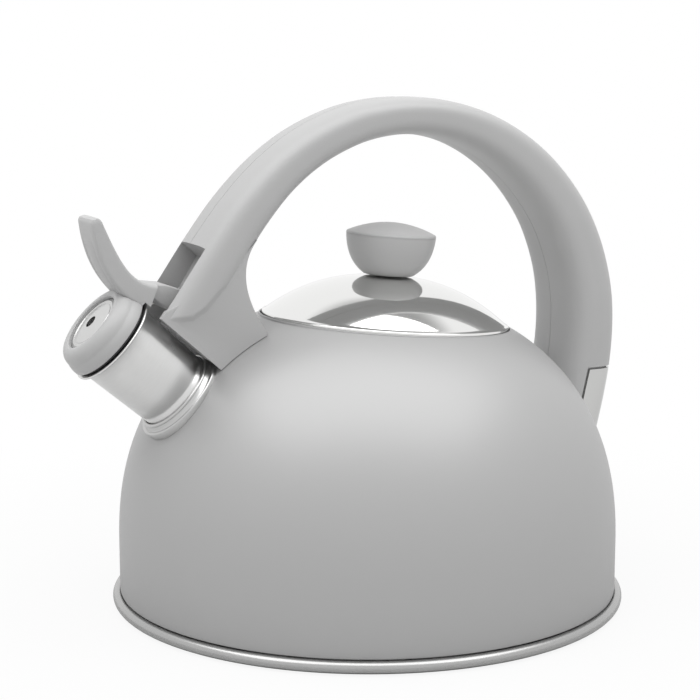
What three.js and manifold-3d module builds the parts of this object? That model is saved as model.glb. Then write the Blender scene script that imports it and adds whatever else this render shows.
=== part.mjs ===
// A stovetop whistling kettle: enamelled body, steel base and lid, arch handle and lever whistle.
// Millimetres, +Z up. The origin is the centre of the flat underside and the spout points to -X.
import * as THREE from "three";
import { mergeVertices } from "three/addons/utils/BufferGeometryUtils.js";
import Module from "manifold-3d";

const wasm = await Module();
wasm.setup();

// ---------- driving dimensions ----------
const GAP = 0.3; // between pieces that touch
const BIG = 400; // reach of a cutting solid

// sides of the round pieces
const bodySides = 48;
const lidSides = 40;
const spoutSides = 32;
const smallSides = 16;

// body: a straight foot under a rounded dome
const bodyRadius = 106.9;
const bodyFoot = 5.9;
const shoulderHeight = 26.8;
const domeRise = 103.3;
const domePower = 2.27;
const bodyWall = 1.0;

// base: pan with a rolled rim, and the heat-spreading disc under it
const rimBead = 2.5;
const rimOverhang = 3.1;
const panWall = 0.8;
const skirtRise = 12;
const coreRadius = 82;
const coreThickness = 3.6;
const coverWall = 0.6;

// lid, in its own tilted frame: z = 0 is the plane of its rim
const lidCentreX = 8.4;
const lidCentreZ = 120.35;
const lidTilt = 4.5;
const lidRadius = 52.9;
const lidRise = 18.4;
const lidPower = 2.38;
const lidWall = 0.8;
const lidEdgeDepth = 2.0;
const lidFit = 0.7;
const seatTop = 0.6;
const seatDepth = 2.4;
const seatWall = 1.0;
const seatWidth = 6.4;
const lidSkirtDepth = 10;
const lidSkirtWall = 0.8;

// knob on the lid
const knobBaseRadius = 10.4;
const knobRimRadius = 19.2;
const knobRimHeight = 17.8;
const knobCrown = 4.6;
const knobScrewRadius = 1.9;
const insertWall = 1.3;
const insertLength = 12;

// spout, in its own frame: z = 0 is the mouth and +z points out of it
const mouthX = -114.1;
const mouthZ = 120;
const spoutPitch = 41.6;
const mouthRadius = 17.7;
const rootRadius = 16.5;
const spoutLength = 42.5;
const spoutWall = 0.8;
const flangeRadius = 20.1;
const flangeThickness = 1.0;
const collarRadius = 20.8;
const collarLength = 3.6;

// whistle cap in the spout's frame, swinging with the lever
const capRear = 1.4;
const capRearRadius = 19.6;
const capFrontRadius = 13.9;
const capFront = 11.3;
const capRound = 5.2;
const capCavityRadius = 15.8;
const capFrontWall = 3.6;
const discRadius = 12.5;
const discWall = 0.7;
const discProud = 1.4;
const discBulge = 1.1;
const whistleHole = 2.65;
const chamberDepth = 4.0;
const linerWall = 0.8;
const gasketThickness = 0.8;
const gasketPlug = 12.6;
const capScrewRadius = 1.2;

// lever and its hinge
const pinX = -88.5;
const pinZ = 134.5;
const pinRadius = 1.5;
const pinHalfLength = 15.6;
const leverHalfWidth = 9.75;
const tongueHalfWidth = 7;
const eyeRadius = 4.8;
const springWire = 0.9;
const springCoilRadius = 3.1;
const springTurns = 2.5;

// handle: a rounded-rectangle section along an arch, in two halves that meet on y = 0
const handlePower = 3.2;
const handleWall = 3;
const slotHalfWidth = 13.6;
const gussetHalfWidth = 16.4;
const handleFloor = 17; // height of the front leg's lower edge over the spout's axis
const spoutRelief = 1.8;
const joinScrewRadius = 1.5;
const bossRadius = 4;
const strapHalf = 1.25;
const strapFootHalf = 9;
const strapFootThickness = 1.5;
const bracketWall = 1.2;
const bracketGap = 1.0;
const rearScrewSpread = 9;

// handle stations from the front leg over the top to the rear: x, z, half thickness, half width
const handleStations = [
  [-95, 117.6, 10.3, 17.8],
  [-82.7, 134.3, 10.4, 17.8],
  [-71, 151.4, 10.2, 17.8],
  [-58.7, 168.4, 9.5, 17.6],
  [-44.4, 183.5, 8.8, 17.2],
  [-29.1, 194.5, 8.4, 16.9],
  [-11.9, 202.2, 8.1, 16.7],
  [0.3, 205.2, 7.9, 16.8],
  [12.8, 206.4, 7.8, 16.9],
  [26.2, 205.7, 8, 17.2],
  [39.5, 202.9, 8.4, 17.6],
  [52.1, 198, 9, 18],
  [64, 191.1, 9.6, 18.5],
  [74.6, 182.6, 10.2, 18.9],
  [83.8, 172.6, 10.7, 19.3],
  [91.4, 161.6, 11.1, 19.7],
  [97.1, 149.7, 11.5, 20],
  [101.1, 137.2, 11.7, 20.3],
  [103.3, 124.3, 12, 20.5],
  [103.7, 110.6, 12.1, 20.5],
  [102.5, 96.7, 12.2, 20.5],
  [100.7, 86.3, 12.2, 20.5],
  [98.4, 76, 12.2, 20.5],
  [95.9, 65.5, 12.1, 20.5],
  [93.8, 55, 12, 20.5],
];
const gripStart = 2.7; // the hollow runs between these two places along the stations
const gripEnd = 18.8;
const joinScrewPlaces = [3.8, 9, 16.6];

// ---------- materials ----------
function finish(color, roughness, metalness) {
  return new THREE.MeshStandardMaterial({ color, roughness, metalness });
}
const enamel = finish("#a9a9a9", 0.28, 0);
const nylon = finish("#b0b0b0", 0.5, 0);
const steel = finish("#d8d8d8", 0.12, 1);
const satinSteel = finish("#cfcfcf", 0.35, 1);
const aluminium = finish("#c2c4c6", 0.5, 1);
const silicone = finish("#2a2a2a", 0.7, 0);
const brass = finish("#b59a54", 0.35, 1);

// ---------- solids ----------
// A closed geometry as a solid that can be joined and cut.
function solid(geometry) {
  const bare = new THREE.BufferGeometry();
  bare.setAttribute("position", geometry.getAttribute("position"));
  bare.setIndex(geometry.index);
  const merged = mergeVertices(bare, 1e-4);
  const corners = merged.index.array;
  const kept = [];
  for (let i = 0; i < corners.length; i += 3) {
    const [a, b, c] = [corners[i], corners[i + 1], corners[i + 2]];
    if (a !== b && b !== c && c !== a) kept.push(a, b, c);
  }
  return new wasm.Manifold(
    new wasm.Mesh({
      numProp: 3,
      vertProperties: merged.attributes.position.array,
      triVerts: new Uint32Array(kept),
    }),
  );
}

function mesh(name, made, material) {
  const { vertProperties, triVerts } = made.getMesh();
  const geometry = new THREE.BufferGeometry();
  geometry.setAttribute("position", new THREE.BufferAttribute(vertProperties, 3));
  geometry.setIndex(new THREE.BufferAttribute(triVerts, 1));
  geometry.computeVertexNormals();
  const made3d = new THREE.Mesh(geometry, material);
  made3d.name = name;
  return made3d;
}

// A profile of [radius, height] pairs turned about the Z axis.
function turned(profile, segments = spoutSides) {
  const points = profile.map(([r, z]) => new THREE.Vector2(Math.max(r, 0), z));
  if (THREE.ShapeUtils.area(points) < 0) points.reverse();
  const onAxis = points[0].x === 0 && points.at(-1).x === 0;
  if (!onAxis) points.push(points[0].clone());
  return new THREE.LatheGeometry(points, segments).rotateX(Math.PI / 2);
}

function ring(inner, outer, low, high, segments) {
  return turned([[inner, low], [outer, low], [outer, high], [inner, high]], segments);
}

function disc(radius, low, high, segments) {
  return turned([[0, low], [radius, low], [radius, high], [0, high]], segments);
}

// A cylinder across the kettle, along Y.
function crossBar(radius, x, z, y0, y1, segments = smallSides) {
  const bar = new THREE.CylinderGeometry(radius, radius, y1 - y0, segments);
  return bar.translate(x, (y0 + y1) / 2, z);
}

function block(x0, x1, y0, y1, z0, z1) {
  const box = new THREE.BoxGeometry(x1 - x0, y1 - y0, z1 - z0);
  return box.translate((x0 + x1) / 2, (y0 + y1) / 2, (z0 + z1) / 2);
}

// An outline in the XZ plane, as thick as from y0 to y1.
function plate(shape, y0, y1) {
  const settings = { depth: y1 - y0, bevelEnabled: false, curveSegments: 10 };
  const made = new THREE.ExtrudeGeometry(shape, settings);
  return made.rotateX(Math.PI / 2).translate(0, y1, 0);
}

function polygon(points) {
  return new THREE.Shape(points.map(([x, z]) => new THREE.Vector2(x, z)));
}

// Closed skin over a row of rings with the same number of points.
function loft(rings) {
  const count = rings[0].length;
  const positions = rings.flat().flatMap((p) => [p.x, p.y, p.z]);
  const corners = [];
  for (let i = 0; i + 1 < rings.length; i++)
    for (let j = 0; j < count; j++) {
      const k = (j + 1) % count;
      const [a, b, c, d] = [i * count + j, i * count + k, (i + 1) * count + k, (i + 1) * count + j];
      corners.push(a, b, c, a, c, d);
    }
  const last = (rings.length - 1) * count;
  for (let j = 1; j + 1 < count; j++) corners.push(0, j + 1, j, last, last + j, last + j + 1);
  const made = new THREE.BufferGeometry();
  made.setAttribute("position", new THREE.Float32BufferAttribute(positions, 3));
  made.setIndex(corners);
  return made;
}

// ---------- frames ----------
const toLid = new THREE.Matrix4()
  .makeRotationY(THREE.MathUtils.degToRad(lidTilt))
  .setPosition(lidCentreX, 0, lidCentreZ);
const toSpout = new THREE.Matrix4()
  .makeRotationY(THREE.MathUtils.degToRad(spoutPitch - 90))
  .setPosition(mouthX, 0, mouthZ);

const inFrame = (geometry, frame) => geometry.applyMatrix4(frame);

// A point of the XZ plane, from its distance out of the mouth and above the spout's axis.
function nearSpout(out, above) {
  const point = new THREE.Vector3(above, 0, out).applyMatrix4(toSpout);
  return [point.x, point.z];
}

// ---------- body and base ----------
// The dome's outline from the foot to the top, moved outwards by a distance.
function domeOutline(offset, foot, steps = 14) {
  const outline = [[bodyRadius + offset, foot]];
  for (let i = 0; i <= steps; i++) {
    const turn = ((Math.PI / 2) * i) / steps;
    const r = (bodyRadius + offset) * Math.cos(turn) ** (2 / domePower);
    outline.push([
      i === steps ? 0 : r,
      shoulderHeight + (domeRise + offset) * Math.sin(turn) ** (2 / domePower),
    ]);
  }
  return outline;
}

// Everything inside the body's outline moved outwards by a distance.
function domeSolid(offset) {
  return solid(turned([[0, 0], ...domeOutline(offset, 0)], bodySides));
}

function bodyShell() {
  const outer = domeOutline(0, bodyFoot);
  const inner = domeOutline(-bodyWall, bodyFoot).reverse();
  const mouth = disc(lidRadius + lidFit + seatWall + GAP, -seatDepth - seatWall - GAP, BIG, bodySides);
  const hole = inFrame(disc(rootRadius + GAP, -spoutLength - 12, 0, spoutSides), toSpout);
  return solid(turned([...outer, ...inner], bodySides))
    .subtract(solid(inFrame(mouth, toLid)))
    .subtract(solid(hole));
}

// The enamelled ring, welded into the body's mouth, that the lid rests in.
function lidSeat() {
  const openRadius = lidRadius + lidFit;
  const outline = [
    [openRadius, -seatTop],
    [openRadius, -seatDepth],
    [openRadius - seatWidth, -seatDepth],
    [openRadius - seatWidth, -seatDepth - seatWall],
    [openRadius + seatWall, -seatDepth - seatWall],
    [openRadius + seatWall, -seatTop],
  ];
  return solid(turned(outline, bodySides));
}

// The floor pan: a disc, an upstand inside the body and the rolled rim outside it.
function basePan() {
  const floorLow = coverWall + coreThickness + 2 * GAP;
  const upstand = bodyRadius - bodyWall - GAP;
  const beadCentre = bodyRadius + rimOverhang - rimBead;
  const beadHeight = bodyFoot - GAP - rimBead;
  const pan = turned(
    [
      [0, floorLow],
      [upstand, floorLow],
      [upstand, skirtRise],
      [upstand - panWall, skirtRise],
      [upstand - panWall, floorLow + panWall],
      [0, floorLow + panWall],
    ],
    bodySides,
  );
  const bead = [];
  const steps = 8;
  for (let i = 0; i < steps; i++) {
    const turn = (2 * Math.PI * i) / steps;
    bead.push([beadCentre + rimBead * Math.cos(turn), beadHeight + rimBead * Math.sin(turn)]);
  }
  const web = ring(upstand - panWall, beadCentre, floorLow - panWall, floorLow + 0.1, bodySides);
  return solid(pan).add(solid(turned(bead, bodySides))).add(solid(web));
}

function baseCore() {
  return solid(disc(coreRadius - coverWall - GAP, coverWall + GAP, coverWall + GAP + coreThickness, bodySides));
}

function baseCover() {
  const outline = [
    [0, 0],
    [coreRadius - 1, 0],
    [coreRadius, 1],
    [coreRadius, coverWall + coreThickness],
    [coreRadius - coverWall, coverWall + coreThickness],
    [coreRadius - coverWall, coverWall],
    [0, coverWall],
  ];
  return solid(turned(outline, bodySides));
}

// ---------- lid, in the lid's frame ----------
const lidHeight = (r) => lidRise * (1 - (r / lidRadius) ** lidPower);

function lidShell() {
  const steps = 8;
  const outline = [];
  for (let i = 0; i <= steps; i++) {
    const r = (lidRadius * i) / steps;
    outline.push([r, lidHeight(r)]);
  }
  const inside = outline
    .map(([r, z]) => [Math.min(r, lidRadius - lidWall), z - lidWall])
    .reverse();
  const profile = [...outline, [lidRadius, -lidEdgeDepth], [lidRadius - lidWall, -lidEdgeDepth], ...inside];
  return solid(turned(profile, lidSides)).subtract(solid(disc(knobScrewRadius + GAP, 0, BIG, smallSides)));
}

// The ring that drops into the opening and keeps the lid in place.
function lidSkirt() {
  const outer = lidRadius + lidFit - seatWidth - 0.6;
  const lip = 4;
  const top = lidHeight(outer) - lidWall - GAP - 0.4;
  return solid(
    turned(
      [
        [outer, -lidSkirtDepth],
        [outer, top],
        [outer - lip, top],
        [outer - lip, top - lidSkirtWall],
        [outer - lidSkirtWall, top - lidSkirtWall],
        [outer - lidSkirtWall, -lidSkirtDepth],
      ],
      lidSides,
    ),
  );
}

const knobFoot = lidRise + GAP;

function lidKnob() {
  const bowl = new THREE.QuadraticBezierCurve(
    new THREE.Vector2(knobBaseRadius, knobFoot),
    new THREE.Vector2(knobRimRadius * 0.98, knobFoot + knobRimHeight * 0.3),
    new THREE.Vector2(knobRimRadius, knobFoot + knobRimHeight),
  );
  const crown = new THREE.QuadraticBezierCurve(
    new THREE.Vector2(knobRimRadius, knobFoot + knobRimHeight),
    new THREE.Vector2(knobRimRadius * 0.5, knobFoot + knobRimHeight + knobCrown),
    new THREE.Vector2(0, knobFoot + knobRimHeight + knobCrown),
  );
  const outside = [...bowl.getPoints(5), ...crown.getPoints(4).slice(1)].map((p) => [p.x, p.y]);
  const bore = knobScrewRadius + insertWall + 2 * GAP;
  return solid(turned([[0, knobFoot], ...outside], spoutSides)).subtract(
    solid(disc(bore, 0, knobFoot + insertLength + 2 * GAP, smallSides)),
  );
}

function knobInsert() {
  const inner = knobScrewRadius + GAP;
  return solid(ring(inner, inner + insertWall, knobFoot + GAP, knobFoot + GAP + insertLength, smallSides));
}

const knobWasherThickness = 0.8;
const knobWasherTop = lidRise - lidWall - GAP - 0.1;

function knobWasher() {
  const low = knobWasherTop - knobWasherThickness;
  return solid(ring(knobScrewRadius + GAP, knobScrewRadius * 3, low, knobWasherTop, smallSides));
}

// A pan-head screw standing on its head: shank up, cross slot in the head.
function screw(shankRadius, headTop, tip) {
  const headRadius = shankRadius * 2;
  const headHeight = shankRadius * 1.3;
  const low = headTop - headHeight;
  const body = turned(
    [
      [0, low],
      [headRadius * 0.7, low],
      [headRadius, low + headHeight * 0.4],
      [headRadius, headTop],
      [shankRadius, headTop],
      [shankRadius, tip - shankRadius],
      [shankRadius * 0.4, tip],
      [0, tip],
    ],
    12,
  );
  const half = shankRadius * 0.22;
  const reach = headRadius * 0.6;
  const depth = low + headHeight * 0.45;
  return solid(body)
    .subtract(solid(block(-reach, reach, -half, half, low - 1, depth)))
    .subtract(solid(block(-half, half, -reach, reach, low - 1, depth)));
}

function knobScrew() {
  const headTop = knobWasherTop - knobWasherThickness - GAP;
  return screw(knobScrewRadius, headTop, knobFoot + insertLength - 1);
}

// ---------- spout, in the spout's frame ----------
function spoutTube() {
  const slope = (mouthRadius - rootRadius) / spoutLength;
  const nearMouth = mouthRadius - slope * flangeThickness;
  return solid(
    turned(
      [
        [mouthRadius - spoutWall, 0],
        [flangeRadius, 0],
        [flangeRadius, -flangeThickness],
        [nearMouth, -flangeThickness],
        [rootRadius, -spoutLength],
        [rootRadius - spoutWall, -spoutLength],
      ].reverse(),
      spoutSides,
    ),
  );
}

// How far down the spout's axis the body's skin lies.
function rootDepth() {
  const pitch = THREE.MathUtils.degToRad(spoutPitch);
  let low = 0;
  let high = BIG / 2;
  while (high - low > 1e-3) {
    const middle = (low + high) / 2;
    const r = Math.abs(mouthX + middle * Math.cos(pitch));
    const z = mouthZ - middle * Math.sin(pitch) - shoulderHeight;
    const inside = (r / bodyRadius) ** domePower + (Math.max(z, 0) / domeRise) ** domePower < 1;
    if (inside) high = middle;
    else low = middle;
  }
  return high;
}

function spoutCollar(depth) {
  const inner = rootRadius + (mouthRadius - rootRadius) * 0.2 + GAP;
  const front = -depth + collarLength * 0.45;
  const outline = [
    [inner, -depth - 8],
    [collarRadius, -depth - 8],
    [collarRadius, front - 2.2],
    [collarRadius - 0.6, front - 1.1],
    [inner + 0.9, front],
    [inner, front],
  ];
  return solid(inFrame(turned(outline, spoutSides), toSpout)).subtract(domeSolid(GAP));
}

// ---------- whistle, in the spout's frame ----------
const capOuter = () => {
  const steps = 5;
  const side = [[capRearRadius, capRear], [capRearRadius + 0.1, capRear + 1]];
  const shoulder = capFront - capRound;
  const sideRadius = capRearRadius - 0.9;
  for (let i = 0; i <= steps; i++) {
    const turn = ((Math.PI / 2) * i) / steps;
    side.push([
      capFrontRadius + (sideRadius - capFrontRadius) * Math.cos(turn),
      shoulder + capRound * Math.sin(turn),
    ]);
  }
  return side;
};

function whistleCap() {
  const opening = discRadius + 0.4;
  const ledge = capFront - capFrontWall;
  const profile = [
    ...capOuter(),
    [opening, capFront - 0.6],
    [opening, ledge],
    [capCavityRadius, ledge],
    [capCavityRadius, capRear],
  ];
  const seat = disc(capScrewRadius * 2 + GAP, 0, 17.4, 16);
  const hole = disc(capScrewRadius + GAP, 0, BIG / 4, 12);
  const cuts = [seat, hole].map((g) => solid(inFrame(g, capScrewFrame)));
  return solid(turned(profile, spoutSides)).subtract(cuts[0]).subtract(cuts[1]);
}

// The cap screw runs outwards from the spout's axis into the lever's foot.
const capScrewPlace = capRear + 3.4;
const capScrewFrame = new THREE.Matrix4()
  .makeRotationY(Math.PI / 2)
  .setPosition(0, 0, capScrewPlace);

function capScrew() {
  return screw(capScrewRadius, 17.1, 24.4);
}

const discFront = capFront - discProud;

function whistleFrontDisc() {
  const flange = discFront - discWall - capFrontWall + discProud;
  const back = flange - discWall;
  return solid(
    turned(
      [
        [whistleHole, discFront + discBulge],
        [discRadius / 2, discFront + discBulge * 0.65],
        [discRadius - 2.6, discFront],
        [discRadius - 2.2, discFront + 0.35],
        [discRadius - 0.5, discFront + 0.35],
        [discRadius, discFront - 0.2],
        [discRadius, flange],
        [capCavityRadius - GAP, flange],
        [capCavityRadius - GAP, back],
        [discRadius - discWall, back],
        [discRadius - discWall, discFront - discWall],
        [discRadius - 2.6, discFront - discWall],
        [discRadius / 2, discFront + discBulge * 0.65 - discWall],
        [whistleHole, discFront + discBulge - discWall],
      ],
      spoutSides,
    ),
  );
}

const rearDiscFront = discFront - discWall - chamberDepth;

function whistleRearDisc() {
  const low = rearDiscFront - discWall;
  return solid(ring(whistleHole, capCavityRadius - GAP, low, rearDiscFront, spoutSides));
}

function capLiner() {
  const outer = capCavityRadius - GAP;
  const top = rearDiscFront - discWall - GAP;
  const low = capRear + GAP;
  return solid(
    turned(
      [
        [outer - linerWall, low],
        [outer, low],
        [outer, top],
        [outer - 4, top],
        [outer - 4, top - linerWall],
        [outer - linerWall, top - linerWall],
      ],
      spoutSides,
    ),
  );
}

function capGasket() {
  const flange = GAP + gasketThickness;
  const grip = capCavityRadius - linerWall - 2 * GAP;
  const liftTop = rearDiscFront - discWall - linerWall - 2 * GAP;
  return solid(
    turned(
      [
        [gasketPlug - gasketThickness, -2],
        [gasketPlug, -2],
        [gasketPlug + 0.4, GAP],
        [flangeRadius - 1.5, GAP],
        [flangeRadius - 1.5, flange],
        [grip, flange],
        [grip, liftTop],
        [grip - gasketThickness, liftTop],
        [gasketPlug - gasketThickness, flange],
      ],
      spoutSides,
    ),
  );
}

// The lever: a wide thumb blade on the cap, narrowing to a tongue with an eye round the pin.
function lever() {
  const blade = new THREE.Shape();
  blade.moveTo(-124.2, 166.8);
  blade.bezierCurveTo(-122.9, 152, -117.1, 143.4, -110, 136.2);
  blade.lineTo(-103, 128.4);
  blade.lineTo(-100.9, 131.6);
  blade.lineTo(-97, 141.6);
  blade.bezierCurveTo(-107.2, 142.6, -111, 148.2, -119.6, 168);
  blade.bezierCurveTo(-120.2, 169.6, -124.3, 170.8, -124.2, 166.8);
  const tongue = polygon([
    [-99.5, 142],
    [-92.5, 141],
    [-87.5, 139.2],
    [-85.6, 138.3],
    [-85, 131],
    [-92, 130.9],
    [-99, 136.5],
  ]);
  const capSpace = capOuter().slice(1).map(([r, z]) => [r + GAP, z + GAP]);
  const flangeSpace = [[0, -8], [flangeRadius + 1, -8], [flangeRadius + 1, capRear]];
  const core = turned([...flangeSpace, ...capSpace, [0, capFront + GAP]]);
  const hole = inFrame(inFrame(disc(capScrewRadius + GAP, 0, 25, 12), capScrewFrame), toSpout);
  return solid(plate(blade, -leverHalfWidth, leverHalfWidth))
    .add(solid(plate(tongue, -tongueHalfWidth, tongueHalfWidth)))
    .add(solid(crossBar(eyeRadius, pinX, pinZ, -tongueHalfWidth, tongueHalfWidth, 24)))
    .subtract(solid(crossBar(pinRadius + GAP, pinX, pinZ, -BIG, BIG)))
    .subtract(solid(inFrame(core, toSpout)))
    .subtract(solid(hole));
}

// A torsion spring round the pin, beside the tongue.
function returnSpring() {
  const side = tongueHalfWidth + GAP + springWire / 2;
  const pitch = springWire + 0.35;
  const points = [new THREE.Vector3(pinX - 5.6, side, pinZ + springCoilRadius)];
  const steps = Math.round(springTurns * 10);
  for (let i = 0; i <= steps; i++) {
    const turn = Math.PI / 2 - (i / steps) * springTurns * 2 * Math.PI;
    const y = side + (pitch * springTurns * i) / steps;
    points.push(
      new THREE.Vector3(
        pinX + springCoilRadius * Math.cos(turn),
        y,
        pinZ + springCoilRadius * Math.sin(turn),
      ),
    );
  }
  points.push(new THREE.Vector3(pinX - 5.2, side + pitch * springTurns, pinZ - springCoilRadius - 0.6));
  const path = new THREE.CatmullRomCurve3(points);
  const wire = new THREE.Shape();
  wire.absarc(0, 0, springWire / 2, 0, 2 * Math.PI);
  const settings = { steps: 32, extrudePath: path, curveSegments: 3, bevelEnabled: false };
  return solid(new THREE.ExtrudeGeometry(wire, settings));
}

function leverPin() {
  return solid(crossBar(pinRadius, pinX, pinZ, -pinHalfLength, pinHalfLength));
}

// ---------- handle ----------
const places = new THREE.CatmullRomCurve3(
  handleStations.map(([x, z]) => new THREE.Vector3(x, 0, z)),
);
const sizes = new THREE.CatmullRomCurve3(
  handleStations.map(([, , thick, wide]) => new THREE.Vector3(thick, wide, 0)),
);
const lastStation = handleStations.length - 1;

// Centre, outward direction and half sizes of the handle at a place along its stations.
function handleAt(place) {
  const u = Math.min(Math.max(place / lastStation, 0), 1);
  const centre = places.getPoint(u);
  const along = places.getTangent(u);
  const outward = new THREE.Vector3(-along.z, 0, along.x);
  const { x: thick, y: wide } = sizes.getPoint(u);
  return { centre, outward, thick, wide };
}

const rounded = (value) => Math.sign(value) * Math.abs(value) ** (2 / handlePower);

function handleRing(place, inset, corners = 20) {
  const { centre, outward, thick, wide } = handleAt(place);
  const points = [];
  for (let i = 0; i < corners; i++) {
    const turn = (2 * Math.PI * i) / corners;
    const point = centre.clone().addScaledVector(outward, (thick - inset) * rounded(Math.sin(turn)));
    point.y = (wide - inset) * rounded(Math.cos(turn));
    points.push(point);
  }
  return points;
}

function handleSweep(from, to, inset, steps) {
  const rings = [];
  for (let i = 0; i <= steps; i++) rings.push(handleRing(from + ((to - from) * i) / steps, inset));
  return solid(loft(rings));
}

// The web that joins the front leg to the dome.
function gusset() {
  const shape = new THREE.Shape();
  shape.moveTo(-57.3, 158.4);
  shape.quadraticCurveTo(-69.15, 143.4, -53.2, 120.4);
  shape.lineTo(-54, 114);
  shape.lineTo(-62, 104);
  shape.lineTo(-95, 114);
  shape.lineTo(-91, 127);
  shape.lineTo(-70, 152);
  return plate(shape, -gussetHalfWidth, gussetHalfWidth);
}

// The space kept clear round the spout and its collar.
function spoutClearance(depth) {
  const tube = mouthRadius + spoutRelief;
  const wide = collarRadius + spoutRelief;
  const step = -depth + collarLength + 2;
  return inFrame(turned([[0, 20], [tube, 20], [tube, step], [wide, step], [wide, -70], [0, -70]], spoutSides), toSpout);
}

// Everything lower than the front leg's end.
function belowLeg() {
  const corners = [
    nearSpout(30, handleFloor),
    nearSpout(-64, handleFloor),
    nearSpout(-64, -60),
    nearSpout(30, -60),
  ];
  return plate(polygon(corners), -BIG, BIG);
}

// The slot in the outer face of the front leg, where the lever's tongue hangs on its pin.
function leverSlot() {
  const slotTop = new THREE.Vector2(-79.2, 156);
  const along = new THREE.Vector2(-0.592, -0.806);
  const inward = new THREE.Vector2(0.806, -0.592);
  const at = (down, deep) => {
    const p = slotTop.clone().addScaledVector(along, down).addScaledVector(inward, deep);
    return [p.x, p.y];
  };
  const outline = [at(0, -6), at(0, 0), at(0.8, 9.5), at(17, 10.6), at(19, 12.4), at(42, 12.4), at(42, -6)];
  return plate(polygon(outline), -slotHalfWidth, slotHalfWidth);
}

// The rear notch, which the steel bracket fills from outside.
function rearNotch(shrink) {
  const top = 95.1 - shrink;
  return plate(
    polygon([[98.7 + shrink, top], [BIG, top], [BIG, 20], [80, 20], [92 + shrink, 66]]),
    -BIG,
    BIG,
  );
}

// Strap inside the front leg: a foot welded to the dome and a tab between the handle halves.
const strapTab = [[-69, 100], [-55.5, 106], [-62.5, 133], [-74, 133]];
const strapFootX = [-69, -56.5];
const frontScrewPlace = [-67.4, 126];

function grown(points, by) {
  const middleX = points.reduce((sum, p) => sum + p[0], 0) / points.length;
  return points.map(([x, z]) => [x + Math.sign(x - middleX) * by, z > 120 ? z + by : z]);
}

function frontStrap() {
  const [x0, x1] = strapFootX;
  const foot = domeSolid(GAP + strapFootThickness).intersect(
    solid(block(x0, x1, -strapFootHalf, strapFootHalf, 80, 160)),
  );
  const [screwX, screwZ] = frontScrewPlace;
  return solid(plate(polygon(strapTab), -strapHalf, strapHalf))
    .add(foot)
    .subtract(domeSolid(GAP))
    .subtract(solid(crossBar(joinScrewRadius + GAP, screwX, screwZ, -BIG, BIG)));
}

function strapSpace() {
  const [x0, x1] = strapFootX;
  const foot = domeSolid(2 * GAP + strapFootThickness).intersect(
    solid(block(x0 - GAP, x1 + GAP, -strapFootHalf - GAP, strapFootHalf + GAP, 80, 160)),
  );
  return solid(plate(polygon(grown(strapTab, GAP)), -strapHalf - GAP, strapHalf + GAP)).add(foot);
}

// Rear screws: sunk in the bracket's outer wall and held in the handle's end.
const rearScrewPlace = 20.7;
const rearScrewDepth = 13;
const rearHeadTop = 0.6;
const rearHeadRadius = 2.9;

function rearScrewFrame(side) {
  const { centre, outward, thick } = handleAt(rearScrewPlace);
  const seat = centre.clone().addScaledVector(outward, thick);
  const turn = Math.atan2(-outward.x, -outward.z);
  return new THREE.Matrix4().makeRotationY(turn).setPosition(seat.x, side * rearScrewSpread, seat.z);
}

// The outline of a sunk-head screw lying head down, moved outwards by a distance.
function rearScrewOutline(offset, low, tip) {
  const shank = joinScrewRadius + offset;
  const head = rearHeadRadius + offset;
  const rim = rearHeadTop + 0.3 + offset;
  return [[0, low], [head, low], [head, rim], [shank, rim + head - shank], [shank, tip], [0, tip]];
}

function rearScrewHole(side) {
  const outline = rearScrewOutline(GAP, -5, rearScrewDepth + 1);
  return solid(inFrame(turned(outline, smallSides), rearScrewFrame(side)));
}

function rearScrew() {
  const slot = block(-rearHeadRadius * 0.7, rearHeadRadius * 0.7, -0.4, 0.4, rearHeadTop - 1, rearHeadTop + 0.8);
  return solid(turned(rearScrewOutline(0, rearHeadTop, rearScrewDepth), 12)).subtract(solid(slot));
}

function rearBracket() {
  const outside = handleSweep(19.2, lastStation, 0, 5);
  const inside = handleSweep(19, lastStation, bracketWall, 5);
  return outside
    .subtract(inside)
    .intersect(solid(rearNotch(bracketGap)))
    .subtract(domeSolid(GAP))
    .subtract(rearScrewHole(-1))
    .subtract(rearScrewHole(1));
}

// Screw bosses inside the hollow grip, each run right across it.
function bosses() {
  return joinScrewPlaces.map((place) => {
    const { centre } = handleAt(place);
    return { x: centre.x, z: centre.z };
  });
}

const headSeat = 12.6; // height over the parting plane of the seats of the joining screws

function screwBore(x, z) {
  return solid(crossBar(joinScrewRadius + GAP, x, z, -11.5, BIG, smallSides)).add(
    solid(crossBar(joinScrewRadius * 2 + GAP, x, z, headSeat, BIG, 20)),
  );
}

function handleBody(depth) {
  const wholeSteps = 30;
  const notched = handleSweep(0, lastStation, 0, wholeSteps).subtract(solid(rearNotch(0)));
  const tenon = handleSweep(19, 22.4, bracketWall + GAP, 4);
  let hollow = handleSweep(gripStart, gripEnd, handleWall, 16);
  for (const { x, z } of bosses()) hollow = hollow.subtract(solid(crossBar(bossRadius, x, z, -BIG, BIG)));
  let made = notched
    .add(tenon)
    .add(solid(gusset()))
    .subtract(hollow)
    .subtract(solid(belowLeg()))
    .subtract(domeSolid(GAP + 0.1))
    .subtract(solid(spoutClearance(depth)))
    .subtract(solid(leverSlot()))
    .subtract(strapSpace())
    .subtract(solid(crossBar(pinRadius + GAP, pinX, pinZ, -pinHalfLength - GAP, pinHalfLength + GAP)))
    .subtract(rearScrewHole(-1))
    .subtract(rearScrewHole(1));
  const [frontX, frontZ] = frontScrewPlace;
  for (const { x, z } of [...bosses(), { x: frontX, z: frontZ }]) made = made.subtract(screwBore(x, z));
  return made;
}

function handleHalf(whole, side) {
  const half = side < 0 ? block(-BIG, BIG, -BIG, -GAP / 2, -BIG, BIG) : block(-BIG, BIG, GAP / 2, BIG, -BIG, BIG);
  return whole.intersect(solid(half));
}

// A screw lying along Y, its head on the far side.
function crossScrew() {
  return screw(joinScrewRadius, -headSeat - GAP, 11);
}

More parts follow.
